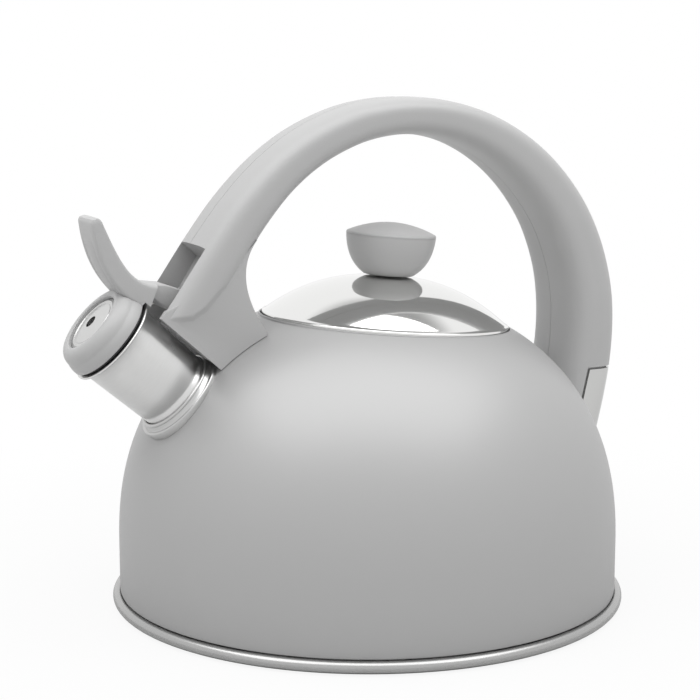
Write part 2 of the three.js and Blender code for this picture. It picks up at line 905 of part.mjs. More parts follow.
// ---------- assembly ----------
const kettle = new THREE.Group();

kettle.add(mesh("body_shell", bodyShell(), enamel));
kettle.add(mesh("base_pan", basePan(), satinSteel));
kettle.add(mesh("base_core", baseCore(), aluminium));
kettle.add(mesh("base_cover", baseCover(), satinSteel));

const depth = rootDepth();
kettle.add(mesh("spout_collar", spoutCollar(depth), satinSteel));
const spout = new THREE.Group();
spout.applyMatrix4(toSpout);
spout.add(mesh("spout_tube", spoutTube(), satinSteel));
spout.add(mesh("whistle_cap", whistleCap(), nylon));
spout.add(mesh("whistle_front_disc", whistleFrontDisc(), steel));
spout.add(mesh("whistle_rear_disc", whistleRearDisc(), steel));
spout.add(mesh("cap_liner", capLiner(), steel));
spout.add(mesh("cap_gasket", capGasket(), silicone));
const capFixing = mesh("cap_screw", capScrew(), steel);
capFixing.applyMatrix4(capScrewFrame);
spout.add(capFixing);
kettle.add(spout);

kettle.add(mesh("lever", lever(), nylon));
kettle.add(mesh("lever_pin", leverPin(), steel));
kettle.add(mesh("return_spring", returnSpring(), steel));

const lid = new THREE.Group();
lid.applyMatrix4(toLid);
lid.add(mesh("lid_seat", lidSeat(), enamel));
lid.add(mesh("lid_shell", lidShell(), steel));
lid.add(mesh("lid_skirt", lidSkirt(), satinSteel));
lid.add(mesh("lid_knob", lidKnob(), nylon));
lid.add(mesh("knob_insert", knobInsert(), brass));
lid.add(mesh("knob_washer", knobWasher(), steel));
lid.add(mesh("knob_screw", knobScrew(), steel));
kettle.add(lid);

const handle = handleBody(depth);
kettle.add(mesh("handle_near", handleHalf(handle, -1), nylon));
kettle.add(mesh("handle_far", handleHalf(handle, 1), nylon));
kettle.add(mesh("front_strap", frontStrap(), steel));
kettle.add(mesh("rear_bracket", rearBracket(), steel));

const [frontX, frontZ] = frontScrewPlace;
[...bosses(), { x: frontX, z: frontZ }].forEach(({ x, z }, i) => {
  const fixing = mesh(`handle_screw_${i + 1}`, crossScrew(), steel);
  fixing.rotation.x = Math.PI / 2;
  fixing.position.set(x, 0, z);
  kettle.add(fixing);
});
for (const side of [-1, 1]) {
  const fixing = mesh(side < 0 ? "rear_screw_near" : "rear_screw_far", rearScrew(), steel);
  fixing.applyMatrix4(rearScrewFrame(side));
  kettle.add(fixing);
}

export default kettle;
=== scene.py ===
"""A stovetop whistling kettle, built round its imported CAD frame.

Lengths are in millimetres until a mesh is made, and in metres from there on. The row frame has
+Z up, the spout towards -X and the handle's arch in the XZ plane.
"""

import math

import bmesh
import bpy
import numpy as np
from mathutils import Matrix, Vector


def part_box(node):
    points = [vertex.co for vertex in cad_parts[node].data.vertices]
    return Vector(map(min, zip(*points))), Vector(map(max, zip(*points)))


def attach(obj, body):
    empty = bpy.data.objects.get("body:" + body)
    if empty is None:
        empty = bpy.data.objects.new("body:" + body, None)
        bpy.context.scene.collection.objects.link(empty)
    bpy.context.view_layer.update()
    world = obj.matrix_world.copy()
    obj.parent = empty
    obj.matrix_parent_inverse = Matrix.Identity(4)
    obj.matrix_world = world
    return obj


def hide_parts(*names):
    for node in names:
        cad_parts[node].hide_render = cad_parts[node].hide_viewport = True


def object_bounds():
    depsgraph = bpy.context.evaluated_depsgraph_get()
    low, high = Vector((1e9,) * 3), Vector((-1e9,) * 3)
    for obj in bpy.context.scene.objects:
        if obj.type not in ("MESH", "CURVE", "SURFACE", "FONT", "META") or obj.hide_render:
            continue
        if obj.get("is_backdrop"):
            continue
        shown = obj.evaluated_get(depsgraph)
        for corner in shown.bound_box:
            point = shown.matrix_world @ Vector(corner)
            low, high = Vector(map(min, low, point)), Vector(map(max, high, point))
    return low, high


bl_info = {
    "name": "Whistling kettle",
    "version": (1, 0, 0),
    "blender": (4, 5, 0),
    "location": "3D View > Sidebar > Kettle",
    "description": "Builds a stovetop whistling kettle and its studio, piece by piece",
    "category": "Object",
}

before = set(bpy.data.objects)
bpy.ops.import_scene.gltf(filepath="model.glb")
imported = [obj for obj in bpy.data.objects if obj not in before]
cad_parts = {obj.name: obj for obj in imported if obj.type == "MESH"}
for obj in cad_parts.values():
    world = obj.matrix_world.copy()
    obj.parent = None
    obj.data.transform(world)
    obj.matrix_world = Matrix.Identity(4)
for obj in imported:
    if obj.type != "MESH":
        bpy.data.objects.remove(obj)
CAD_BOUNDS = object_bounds()
MM = 0.001


def corner(node, side, axis):
    """One coordinate of a CAD node's box in millimetres: side 0 is the low end, 1 the high one."""
    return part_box(node)[side][axis] / MM


# ---------- sizes, in millimetres ----------
BODY_RADIUS = corner("body_shell", 1, 0)
BODY_FOOT = corner("body_shell", 0, 2)
SHOULDER = 26.8
DOME_RISE = 103.3
DOME_POWER = 2.27
BODY_WALL = 1.0
DOME_STEPS = 84
DOME_END = 80  # degrees up the dome, inside the lid's opening
OPENING_FIT = 0.5
SPOUT_FIT = 0.3
PAST = 60  # how far a cutting shape reaches past what it cuts

BEAD = 2.5
BEAD_RADIUS = corner("base_pan", 1, 0) - BEAD
BEAD_HEIGHT = corner("base_pan", 0, 2) + BEAD
PAN_FLOOR = 4.8
PAN_WALL = 0.8
PAN_UPSTAND = 105.6
PAN_TOP = corner("base_pan", 1, 2)
PAN_ROUND = 1.6
PAN_ROUND_RISE = 2.4
BEAD_ARC = (162, 499)  # degrees, from the pan's floor round to its upstand
COVER_RADIUS = corner("base_cover", 1, 0)
COVER_TOP = corner("base_cover", 1, 2)
COVER_WALL = 0.6
COVER_ROUND = 1

LID_CENTRE = (8.4, 0, 120.35)
LID_TILT = 4.5
LID_RADIUS = 52.9
LID_RISE = 18.4
LID_POWER = 2.38
LID_WALL = 0.8
LID_EDGE = 2.0
LID_OPENING = 53.6
LID_HOLE = 2.2
LID_EDGE_ROUND = 0.7
SEAT_INNER = 47.2
SEAT_DEPTH = 3.4
SEAT_ROUND = 0.5
SKIRT_RADIUS = 46.6
SKIRT_DEPTH = 10
SKIRT_WALL = 0.8
SKIRT_FLANGE = 4
SKIRT_DROP = 1.5

KNOB_FOOT = 18.7
KNOB_BASE = 10.4
KNOB_RIM = 19.2
KNOB_RIM_HEIGHT = 17.8
KNOB_CROWN = 4.6
KNOB_BORE = 3.8
KNOB_BORE_DEPTH = 12.6
KNOB_BELLY = 5.34

MOUTH = (-114.1, 0, 120)
SPOUT_PITCH = 41.6
MOUTH_RADIUS = 17.7
ROOT_RADIUS = 16.5
SPOUT_LENGTH = 42.5
SPOUT_WALL = 0.8
FLANGE_RADIUS = 20.1
FLANGE = 1.0
COLLAR_RADIUS = 20.8
COLLAR_FRONT = -36.0
COLLAR_DEPTH = 12
GROOVE_AHEAD = 3.4  # from the collar's front to the groove in the tube

CAP_REAR = 1.4
CAP_RADIUS = 19.6
CAP_FRONT = 11.3
CAP_FRONT_RADIUS = 13.9
CAP_ROUND = 5.2
CAP_CAVITY = 15.8
CAP_LEDGE = 7.7
DISC_RADIUS = 12.5
DISC_FRONT = 9.9
DISC_WALL = 0.7
DISC_HOLE = 2.65
DISC_BACK = 6.3
DISC_STEP = 7.0
DISC_DISH = 9.9
CAVITY_FIT = 0.3
REAR_DISC_FRONT = 5.2
LINER_WALL = 0.8
GASKET_PLUG = 12.6
GASKET_ROUND = 0.4
RIB_SPREAD = 0.36  # radians to either side of the cap's top

PIN = (-88.5, 134.5)
PIN_RADIUS = 1.5
PIN_REACH = corner("lever_pin", 1, 1)
LEVER_HALF = corner("lever", 1, 1)
TONGUE_HALF = 7.0
EYE_RADIUS = 4.8
LEVER_TIP_UNDER = [(-124.1, 168.2), (-122.9, 152), (-117.1, 143.4), (-110, 136.2)]
LEVER_ROOT_UNDER = (8, -6.8)  # from the blade's end to its root, along X and Z
LEVER_OVER = [(-120.1, 169.2), (-111, 148.2), (-107.2, 142.6), (-97, 141.6)]
TONGUE = [(-101, 142), (-97, 141.6), (-92.5, 141), (-87.5, 139.2), (-85.6, 138.3)]
TONGUE += [(-85, 131), (-92, 130.9), (-99, 136.5), (-103, 139)]
LEVER_CORNERS = 96
LEVER_SQUARENESS = 0.27
GROOVE_PITCH = 3.7
GROOVES_HALF = 7.4

HANDLE_POWER = 3.2
HANDLE_STATIONS = [
    (-95, 117.6, 10.3, 17.8),
    (-82.7, 134.3, 10.4, 17.8),
    (-71, 151.4, 10.2, 17.8),
    (-58.7, 168.4, 9.5, 17.6),
    (-44.4, 183.5, 8.8, 17.2),
    (-29.1, 194.5, 8.4, 16.9),
    (-11.9, 202.2, 8.1, 16.7),
    (0.3, 205.2, 7.9, 16.8),
    (12.8, 206.4, 7.8, 16.9),
    (26.2, 205.7, 8, 17.2),
    (39.5, 202.9, 8.4, 17.6),
    (52.1, 198, 9, 18),
    (64, 191.1, 9.6, 18.5),
    (74.6, 182.6, 10.2, 18.9),
    (83.8, 172.6, 10.7, 19.3),
    (91.4, 161.6, 11.1, 19.7),
    (97.1, 149.7, 11.5, 20),
    (101.1, 137.2, 11.7, 20.3),
    (103.3, 124.3, 12, 20.5),
    (103.7, 110.6, 12.1, 20.5),
    (102.5, 96.7, 12.2, 20.5),
    (100.7, 86.3, 12.2, 20.5),
    (98.4, 76, 12.2, 20.5),
    (95.9, 65.5, 12.1, 20.5),
    (93.8, 55, 12, 20.5),
]
SLOT_HALF = 13.6
WEB_HALF = 16.4
WEB_EDGE = [(-57.3, 158.4), (-69.15, 143.4), (-53.2, 120.4)]
WEB_ROOT = [(-54, 114), (-62, 104)]
WEB_FRONT = [(52, 0.6), (30, 0.6), (20, 6), (4, 14)]
SLOT = [(0, -8), (0, 0), (0.8, 9.5), (17, 10.6), (19, 12.4), (42, 12.4), (42, -8)]
LEG_END = [(33.1, -6), (33.1, -1.8), (32.8, 1.5), (31, 8), (27.2, 13)]
LEG_END += [(20.1, 15.8), (8.7, 16.8), (-1.2, 19), (-8, 24), (-90, 70)]
LEG_ROUND = 4.0
LEG_STEP = 0.78  # half of what the leg stands out past the web
LEG_PLACES = 3
ARCH_PLACES = 21
LEG_RINGS = 110
ARCH_RINGS = 220
HANDLE_FLOOR = 17
SPOUT_RELIEF = 1.8
BRACKET_WALL = 1.2
BRACKET_GAP = 1.0
BRACKET_PLACES = (19.2, 24)
BRACKET_INSIDE_START = 18.8
TENON_PLACES = (19, 22.4)
TENON_FIT = 0.3
HEAD_SEAT = 12.6
SCREW_PLACES = (3.8, 9, 16.6)
FRONT_SCREW = (-67.4, 126)
REAR_SCREW_PLACE = 20.7
REAR_SCREW_SPREAD = 9
SCREW_SEAT_RADIUS = 3.3
SCREW_SHANK = 1.5
SCREW_HEAD = 3.0
SCREW_HEAD_TOP = -1.95
SCREW_END = 23.6
SUNK_END = 13
SLIT_HALF = 0.35
CROSS_HALF = 0.33

SPRING_WIRE = 0.9
SPRING_RADIUS = 3.1
SPRING_TURNS = 2.5
SPRING_PITCH = 1.25
SPRING_STEPS = 90

# ---------- the view and the stage, in millimetres and degrees ----------
CAMERA_AZIMUTH = -25.62
CAMERA_RISE = 9.47
CAMERA_DISTANCE = 770.0
CAMERA_TARGET = (-8.22, 0, 107.63)
CAMERA_LENS = 93.06
CAMERA_SENSOR = 36
LAMP_SPOT = (-130, -270, 1250)
LAMP_SIZE = (2.3, 1.3)  # metres
LAMP_POWER = 20.0  # watts
FLOOR_HALF = 9000


# ---------- what a user would change ----------
class KettleSizes(bpy.types.PropertyGroup):
    """Sizes of the details that the CAD frame leaves open."""

    sides: bpy.props.IntProperty(
        name="Sides", description="Sides of the turned pieces", default=160, min=48, max=320
    )
    seam: bpy.props.FloatProperty(
        name="Handle seam",
        description="Width of the joint line between the two handle halves",
        default=0.00024,
        min=0.00005,
        max=0.001,
        precision=5,
        unit="LENGTH",
    )
    groove: bpy.props.FloatProperty(
        name="Thumb groove",
        description="Depth of the grooves under the lever",
        default=0.0004,
        min=0,
        max=0.001,
        precision=5,
        unit="LENGTH",
    )
    hump: bpy.props.FloatProperty(
        name="Cap rib",
        description="Height of the rounded rib on the cap under the lever",
        default=0.0009,
        min=0,
        max=0.002,
        precision=5,
        unit="LENGTH",
    )
    bulge: bpy.props.FloatProperty(
        name="Disc bulge",
        description="How far the middle of the whistle disc painted shade stands out",
        default=0.0012,
        min=0,
        max=0.0014,
        precision=5,
        unit="LENGTH",
    )


class KettleFinish(bpy.types.PropertyGroup):
    """Colours and gloss of the kettle's finishes."""

    enamel: bpy.props.FloatVectorProperty(
        name="Enamel", description="Colour of the body", subtype="COLOR",
        default=(0.31, 0.31, 0.31), min=0, max=1,
    )
    nylon: bpy.props.FloatVectorProperty(
        name="Nylon", description="Colour of the handle, knob, lever and cap", subtype="COLOR",
        default=(0.42, 0.42, 0.42), min=0, max=1,
    )
    steel: bpy.props.FloatVectorProperty(
        name="Polished steel", description="Tint of the lid and the bracket", subtype="COLOR",
        default=(0.84, 0.84, 0.83), min=0, max=1,
    )
    satin: bpy.props.FloatVectorProperty(
        name="Satin steel", description="Tint of the spout and the base", subtype="COLOR",
        default=(0.70, 0.70, 0.695), min=0, max=1,
    )
    enamel_gloss: bpy.props.FloatProperty(
        name="Enamel roughness", description="Roughness of the body's enamel",
        default=0.06, min=0, max=1, subtype="FACTOR",
    )
    nylon_gloss: bpy.props.FloatProperty(
        name="Nylon roughness", description="Roughness of the moulded pieces",
        default=0.42, min=0, max=1, subtype="FACTOR",
    )


# ---------- node trees ----------
class Term:
    """A socket's output in a node tree. Arithmetic on it adds Math nodes."""

    def __init__(self, net, socket):
        self.net = net
        self.socket = socket

    def maths(self, operation, *values):
        return self.net.add("ShaderNodeMath", {"operation": operation}, *values)

    def __add__(self, other):
        return self.maths("ADD", self, other)

    __radd__ = __add__

    def __mul__(self, other):
        return self.maths("MULTIPLY", self, other)

    __rmul__ = __mul__

    def __sub__(self, other):
        return self.maths("SUBTRACT", self, other)

    def __rsub__(self, other):
        return self.maths("SUBTRACT", other, self)

    def __truediv__(self, other):
        return self.maths("DIVIDE", self, other)

    def __rtruediv__(self, other):
        return self.maths("DIVIDE", other, self)

    def __pow__(self, other):
        return self.maths("POWER", self, other)

    def step(self, low, high):
        """0 below low and 1 above high, eased between them."""
        return self.net.add(
            "ShaderNodeMapRange", {"interpolation_type": "SMOOTHSTEP"}, self, low, high, 0.0, 1.0
        )


class Net:
    """Adds nodes to one tree."""

    def __init__(self, tree):
        self.tree = tree

    def node(self, kind, settings=None, *values, **named):
        """A new node with its settings made first, then its sockets by place or by identifier."""
        made = self.tree.nodes.new(kind)
        for key, value in (settings or {}).items():
            setattr(made, key, value)
        by_name = {socket.identifier: socket for socket in made.inputs}
        for socket, value in zip(made.inputs, values):
            self.feed(socket, value)
        for key, value in named.items():
            self.feed(by_name[key.replace("__", " ")], value)
        return made

    def feed(self, socket, value):
        if isinstance(value, Term):
            self.tree.links.new(value.socket, socket)
        elif value is not None:
            socket.default_value = value

    def add(self, kind, settings=None, *values, out=0, **named):
        """As node, but gives one output as a term."""
        return Term(self, self.node(kind, settings, *values, **named).outputs[out])

    def noise(self, place, scale, detail=2.0, roughness=0.5):
        return self.add(
            "ShaderNodeTexNoise", None,
            Vector=place, Scale=scale, Detail=detail, Roughness=roughness,
        )

    def stretch(self, place, scale, turn=(0, 0, 0), shift=(0, 0, 0)):
        """The place turned to a piece's own axes and scaled along them."""
        return self.add(
            "ShaderNodeMapping", {"vector_type": "TEXTURE"}, place, shift, turn,
            tuple(1 / s for s in scale),
        )

    def blend(self, share, first, second):
        """A colour between two."""
        node = self.node(
            "ShaderNodeMix", {"data_type": "RGBA"},
            Factor_Float=share, A_Color=first, B_Color=second,
        )
        return Term(self, node.outputs["Result_Color" if "Result_Color" in node.outputs else 2])

    def relief(self, height, distance, strength=1.0):
        return self.add(
            "ShaderNodeBump", None, Strength=strength, Distance=distance, Height=height
        )


def shade(colour, factor):
    return tuple(min(c * factor, 1.0) for c in colour[:3]) + (1.0,)


def new_finish(name):
    """An empty material: its net, its place in object coordinates, and its shader."""
    made = bpy.data.materials.new(name)
    made.use_nodes = True
    made.node_tree.nodes.clear()
    net = Net(made.node_tree)
    shader = net.node("ShaderNodeBsdfPrincipled")
    net.node("ShaderNodeOutputMaterial", None, Term(net, shader.outputs[0]))
    place = net.add("ShaderNodeTexCoord", out=3)
    return made, net, place, shader


def dress(net, shader, **sockets):
    for key, value in sockets.items():
        net.feed(shader.inputs[key.replace("_", " ")], value)


def enamel_finish(colour, gloss):
    """Fired enamel: faint orange peel, tiny specks and a soft sheen that varies a little."""
    made, net, place, shader = new_finish("enamel")
    cloud = net.noise(place, 14.0, 3.0)
    peel = net.noise(place, 260.0, 1.0)
    speck = net.noise(place, 2600.0, 1.0).step(0.68, 0.76)
    tone = net.blend(cloud, shade(colour, 0.97), shade(colour, 1.03))
    tone = net.blend(speck * 0.10, tone, shade(colour, 0.55))
    smudge = net.noise(place, 34.0, 4.0).step(0.45, 0.75)
    dress(
        net, shader, Base_Color=tone, Roughness=smudge * 0.04 + gloss, IOR=1.55,
        Normal=net.relief(peel * 0.8 + speck * 0.2, 0.000012),
    )
    return made


def nylon_finish(colour, gloss):
    """Moulded nylon: fine spark-eroded grain, worn a little smoother on top of the grip."""
    made, net, place, shader = new_finish("grey nylon")
    cloud = net.noise(place, 22.0, 3.0)
    grain = net.add(
        "ShaderNodeTexVoronoi", {"feature": "SMOOTH_F1"},
        Vector=place, Scale=1500.0, Smoothness=0.6,
    )
    fine = net.noise(place, 3800.0, 1.0)
    tone = net.blend(cloud, shade(colour, 0.965), shade(colour, 1.035))
    tone = net.blend(fine.step(0.6, 0.8) * 0.06, tone, shade(colour, 0.6))
    height = net.add("ShaderNodeSeparateXYZ", None, place, out=2)
    worn = height.step(0.185, 0.208) * net.noise(place, 60.0, 3.0).step(0.35, 0.7)
    scuff = net.noise(net.stretch(place, (14.0, 160.0, 220.0)), 1.0, 2.0).step(0.68, 0.78)
    dress(
        net, shader, Base_Color=tone, Roughness=worn * -0.07 + scuff * 0.06 + gloss, IOR=1.5,
        Normal=net.relief(grain * 0.6 + fine * 0.3, 0.00003),
    )
    return made


def polished_finish(name, colour, turn=(0, 0, 0), shift=(0, 0, 0)):
    """Mirror-polished steel with faint buffing marks and finger smudges."""
    made, net, place, shader = new_finish(name)
    smudge = net.noise(place, 55.0, 4.0).step(0.5, 0.8)
    own = net.stretch(place, (1, 1, 1), turn, shift)
    x = net.add("ShaderNodeSeparateXYZ", None, own, out=0)
    y = net.add("ShaderNodeSeparateXYZ", None, own, out=1)
    radius = (x * x + y * y) ** 0.5
    rings = net.noise(net.add("ShaderNodeCombineXYZ", None, radius, 0.0, 0.0), 5200.0, 2.0)
    tone = net.blend(rings * 0.35, shade(colour, 1.0), shade(colour, 0.94))
    dress(
        net, shader, Base_Color=tone, Metallic=1.0,
        Roughness=smudge * 0.035 + rings * 0.02 + 0.045,
        Normal=net.relief(rings, 0.0000012),
    )
    return made


SATIN_LINES = 2400.0  # lines of grain to a metre


def satin_finish(name, colour, turn=(0, 0, 0), shift=(0, 0, 0), rough=0.27, round_axis=True):
    """Steel with a fine satin grain that runs round its own axis, or along it."""
    made, net, place, shader = new_finish(name)
    own = net.stretch(place, (1, 1, 1), turn, shift)
    x = net.add("ShaderNodeSeparateXYZ", None, own, out=0)
    y = net.add("ShaderNodeSeparateXYZ", None, own, out=1)
    z = net.add("ShaderNodeSeparateXYZ", None, own, out=2)
    radius = (x * x + y * y) ** 0.5
    around = net.add("ShaderNodeMath", {"operation": "ARCTAN2"}, y, x)
    lines = net.add(
        "ShaderNodeCombineXYZ", None, radius * SATIN_LINES, around * 3.0, z * SATIN_LINES
    )
    if not round_axis:
        lines = net.add(
            "ShaderNodeCombineXYZ", None, x * SATIN_LINES, y * 60.0, z * SATIN_LINES
        )
    grain = net.noise(lines, 1.0, 3.0, 0.6)
    cloud = net.noise(place, 40.0, 3.0)
    tone = net.blend(grain * 0.6 + cloud * 0.3, shade(colour, 1.03), shade(colour, 0.9))
    dress(
        net, shader, Base_Color=tone, Metallic=1.0,
        Roughness=grain * 0.10 + cloud * 0.06 + (rough - 0.05),
        Normal=net.relief(grain, 0.000006),
    )
    return made


def plain_metal(name, colour, rough):
    """Zinc, brass and rolled aluminium: soft cloudy metal with fine scratches."""
    made, net, place, shader = new_finish(name)
    cloud = net.noise(place, 160.0, 4.0)
    scratch = net.noise(net.stretch(place, (300.0, 2600.0, 2600.0)), 1.0, 2.0)
    tone = net.blend(cloud, shade(colour, 0.85), shade(colour, 1.1))
    dress(
        net, shader, Base_Color=tone, Metallic=1.0,
        Roughness=scratch * 0.14 + cloud * 0.1 + rough,
        Normal=net.relief(scratch, 0.00001),
    )
    return made


def silicone_finish():
    """Black heat-proof silicone with a dusty bloom; its black is also painted shade for the dark
    gap between the cap and the spout's flange.
    """
    made, net, place, shader = new_finish("black silicone and gap shade")
    bloom = net.noise(place, 120.0, 4.0).step(0.4, 0.8)
    fine = net.noise(place, 2200.0, 2.0)
    tone = net.blend(bloom * 0.5, (0.018, 0.018, 0.019, 1), (0.05, 0.05, 0.052, 1))
    dress(
        net, shader, Base_Color=tone, Roughness=bloom * 0.15 + fine * 0.1 + 0.5,
        Normal=net.relief(fine, 0.00002),
    )
    return made


def finish(name):
    """A finish by name, made the first time that it is asked for."""
    if name in bpy.data.materials:
        return bpy.data.materials[name]
    wanted = bpy.context.scene.kettle_finish
    steel, satin = wanted.steel, wanted.satin
    on_lid = (0, math.radians(LID_TILT), 0), tuple(c * MM for c in LID_CENTRE)
    on_spout = (0, math.radians(SPOUT_PITCH - 90), 0), tuple(c * MM for c in MOUTH)
    makers = {
        "enamel": lambda: enamel_finish(wanted.enamel, wanted.enamel_gloss),
        "grey nylon": lambda: nylon_finish(wanted.nylon, wanted.nylon_gloss),
        "polished lid": lambda: polished_finish(name, steel, *on_lid),
        # painted shade: the bracket is the lid's polished steel, darkened to 0.68 of its tint
        "polished bracket painted shade": lambda: polished_finish(name, shade(steel, 0.68)),
        "satin spout": lambda: satin_finish(name, satin, *on_spout),
        # painted shade: the collar is the spout's satin steel, darkened to 0.78 of its tint
        "satin collar painted shade": lambda: satin_finish(name, shade(satin, 0.78), *on_spout),
        # painted shade: the base is the spout's satin steel, darkened to 0.62 of its tint
        "satin base painted shade": lambda: satin_finish(name, shade(satin, 0.62), rough=0.24),
        "satin lid": lambda: satin_finish(name, satin, *on_lid),
        "satin strap": lambda: satin_finish(name, satin, round_axis=False),
        # painted shade: the whistle discs are the spout's satin steel, darkened to 0.92 of its
        # tint
        "whistle disc painted shade": lambda: satin_finish(name, shade(satin, 0.92), *on_spout, 0.3),
        "zinc": lambda: plain_metal(name, (0.5, 0.5, 0.49), 0.3),
        "brass": lambda: plain_metal(name, (0.62, 0.48, 0.22), 0.3),
        "aluminium": lambda: plain_metal(name, (0.66, 0.66, 0.67), 0.35),
        # the gasket's black is its silicone and also painted shade for the gap between the cap and
        # the spout's flange
        "black silicone and gap shade": silicone_finish,
    }
    return makers[name]()


# ---------- meshes ----------
def new_object(name, points, faces=(), edges=()):
    """An object whose mesh is given in millimetres."""
    mesh = bpy.data.meshes.new(name)
    mesh.from_pydata([tuple(c * MM for c in p) for p in points], edges, faces)
    made = bpy.data.objects.new(name, mesh)
    bpy.context.scene.collection.objects.link(made)
    return made


def settle(piece):
    """Turns what the modifiers make into the piece's own plain mesh."""
    graph = bpy.context.evaluated_depsgraph_get()
    made = bpy.data.meshes.new_from_object(piece.evaluated_get(graph))
    piece.modifiers.clear()
    old, piece.data = piece.data, made
    bpy.data.meshes.remove(old)
    return piece


def face_out(piece):
    work = bmesh.new()
    work.from_mesh(piece.data)
    bmesh.ops.remove_doubles(work, verts=work.verts, dist=1e-7)
    bmesh.ops.recalc_face_normals(work, faces=work.faces)
    work.to_mesh(piece.data)
    work.free()
    return piece


def carve(piece, tool, operation="DIFFERENCE"):
    """Cuts a tool out of a piece, or joins it on, and throws the tool away."""
    cut = piece.modifiers.new("carve", "BOOLEAN")
    cut.operation = operation
    cut.solver = "MANIFOLD"
    cut.object = tool
    settle(piece)
    if not len(piece.data.polygons):
        raise RuntimeError(f"{piece.name}: nothing left after {operation} with {tool.name}")
    bpy.data.objects.remove(tool)
    return piece


def complete(piece, body, slot, look, *nodes, crease=32):
    """Finishes a piece: its material, its shading, its body and the CAD nodes it stands for."""
    mesh = piece.data
    mesh.materials.clear()
    mesh.materials.append(finish(look))
    mesh.polygons.foreach_set("material_index", [0] * len(mesh.polygons))
    mesh.shade_smooth()
    mesh.set_sharp_from_angle(angle=math.radians(crease))
    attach(piece, body)
    if nodes:
        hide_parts(*nodes)
    return piece


def tree_with(name, inputs):
    """A Geometry Nodes tree with named inputs, its net, and its inputs as terms."""
    tree = bpy.data.node_groups.new(name, "GeometryNodeTree")
    tree.is_modifier = True
    for label, kind in inputs:
        tree.interface.new_socket(label, in_out="INPUT", socket_type="NodeSocket" + kind)
    tree.interface.new_socket("Geometry", in_out="OUTPUT", socket_type="NodeSocketGeometry")
    net = Net(tree)
    source = net.node("NodeGroupInput")
    return tree, net, {label: Term(net, source.outputs[label]) for label, _ in inputs}


def end_tree(net, shape, material):
    real = net.add("GeometryNodeRealizeInstances", None, shape)
    painted = net.add("GeometryNodeSetMaterial", None, Geometry=real, Material=material)
    net.node("NodeGroupOutput", None, painted)


def run_tree(piece, tree, **values):
    """Runs a tree on an object with its inputs set, and keeps the result as a plain mesh."""
    modifier = piece.modifiers.new(tree.name, "NODES")
    modifier.node_group = tree
    keys = {i.name: i.identifier for i in tree.interface.items_tree if i.in_out == "INPUT"}
    for label, value in values.items():
        modifier[keys[label]] = value
    return settle(piece)


def turning_tree():
    """Turns an outline of points, radius in X and height in Z, about the Z axis."""
    if "turned piece" in bpy.data.node_groups:
        return bpy.data.node_groups["turned piece"]
    tree, net, given = tree_with(
        "turned piece",
        [("Outline", "Geometry"), ("Rows", "Int"), ("Sides", "Int"), ("Finish", "Material")],
    )
    rows, sides = given["Rows"], given["Sides"]
    grid = net.add("GeometryNodeMeshGrid", None, 1.0, 1.0, sides + 1, rows)
    index = net.add("GeometryNodeInputIndex")
    spot = net.add("GeometryNodeInputPosition")
    column = net.add("ShaderNodeMath", {"operation": "FLOOR"}, (index + 0.5) / rows)
    row = index - column * rows
    outline = net.add(
        "GeometryNodeSampleIndex", {"data_type": "FLOAT_VECTOR", "domain": "POINT"},
        Geometry=given["Outline"], Value=spot, Index=row,
    )
    split = net.node("ShaderNodeSeparateXYZ", None, outline)
    radius, height = Term(net, split.outputs[0]), Term(net, split.outputs[2])
    angle = column / sides * math.tau
    turned_spot = net.add(
        "ShaderNodeCombineXYZ", None, radius * angle.maths("COSINE", angle),
        radius * angle.maths("SINE", angle), height,
    )
    moved = net.add("GeometryNodeSetPosition", None, Geometry=grid, Position=turned_spot)
    merged = net.add("GeometryNodeMergeByDistance", None, Geometry=moved, Distance=1e-7)
    end_tree(net, merged, given["Finish"])
    return tree


def turned(name, outline, place=None, closed=True, sides=None):
    """A turned piece. A closed outline is a ring round the axis, and an open one ends on it."""
    points = [(r, 0, z) for r, z in outline]
    if closed:
        points.append(points[0])
    piece = new_object(name, points, edges=[(i, i + 1) for i in range(len(points) - 1)])
    sides = sides or bpy.context.scene.kettle_sizes.sides
    run_tree(piece, turning_tree(), Rows=len(points), Sides=sides)
    face_out(piece)
    if place is not None:
        piece.data.transform(place)
    return piece


def arc(centre, radius, start, end, steps, tall=None):
    """Points on an arc from one angle to another, in degrees."""
    tall = radius if tall is None else tall
    found = []
    for i in range(steps + 1):
        turn = math.radians(start + (end - start) * i / steps)
        found.append((centre[0] + radius * math.cos(turn), centre[1] + tall * math.sin(turn)))
    return found


def bezier(points, steps):
    """Points on a Bezier curve of any order, ends included."""
    found = []
    for i in range(steps + 1):
        t = i / steps
        work = [Vector(p) for p in points]
        while len(work) > 1:
            work = [a.lerp(b, t) for a, b in zip(work, work[1:])]
        found.append(tuple(work[0]))
    return found


def plate(name, outline, y0, y1, rounding=0.0, segments=3):
    """An outline in the XZ plane with a thickness along Y, its rims rounded."""
    count = len(outline)
    points = [(x, y0, z) for x, z in outline] + [(x, y1, z) for x, z in outline]
    faces = [tuple(range(count)), tuple(range(2 * count - 1, count - 1, -1))]
    faces += [(i, i + count, (i + 1) % count + count, (i + 1) % count) for i in range(count)]
    piece = face_out(new_object(name, points, faces))
    if rounding:
        soft = piece.modifiers.new("rounding", "BEVEL")
        soft.width = rounding * MM
        soft.segments = segments
        soft.limit_method = "ANGLE"
        soft.angle_limit = math.radians(40)
        settle(piece)
    return piece


def rod(name, radius, centre, y0, y1, sides=48, chamfer=0.0):
    """A round bar along Y."""
    outline = [(0, y0), (radius - chamfer, y0), (radius, y0 + chamfer)]
    outline += [(radius, y1 - chamfer), (radius - chamfer, y1), (0, y1)]
    if not chamfer:
        outline = [(0, y0), (radius, y0), (radius, y1), (0, y1)]
    along_y = Matrix.Translation((centre[0] * MM, 0, centre[1] * MM)) @ Matrix.Rotation(
        -math.pi / 2, 4, "X"
    )
    return turned(name, outline, along_y, closed=False, sides=sides)


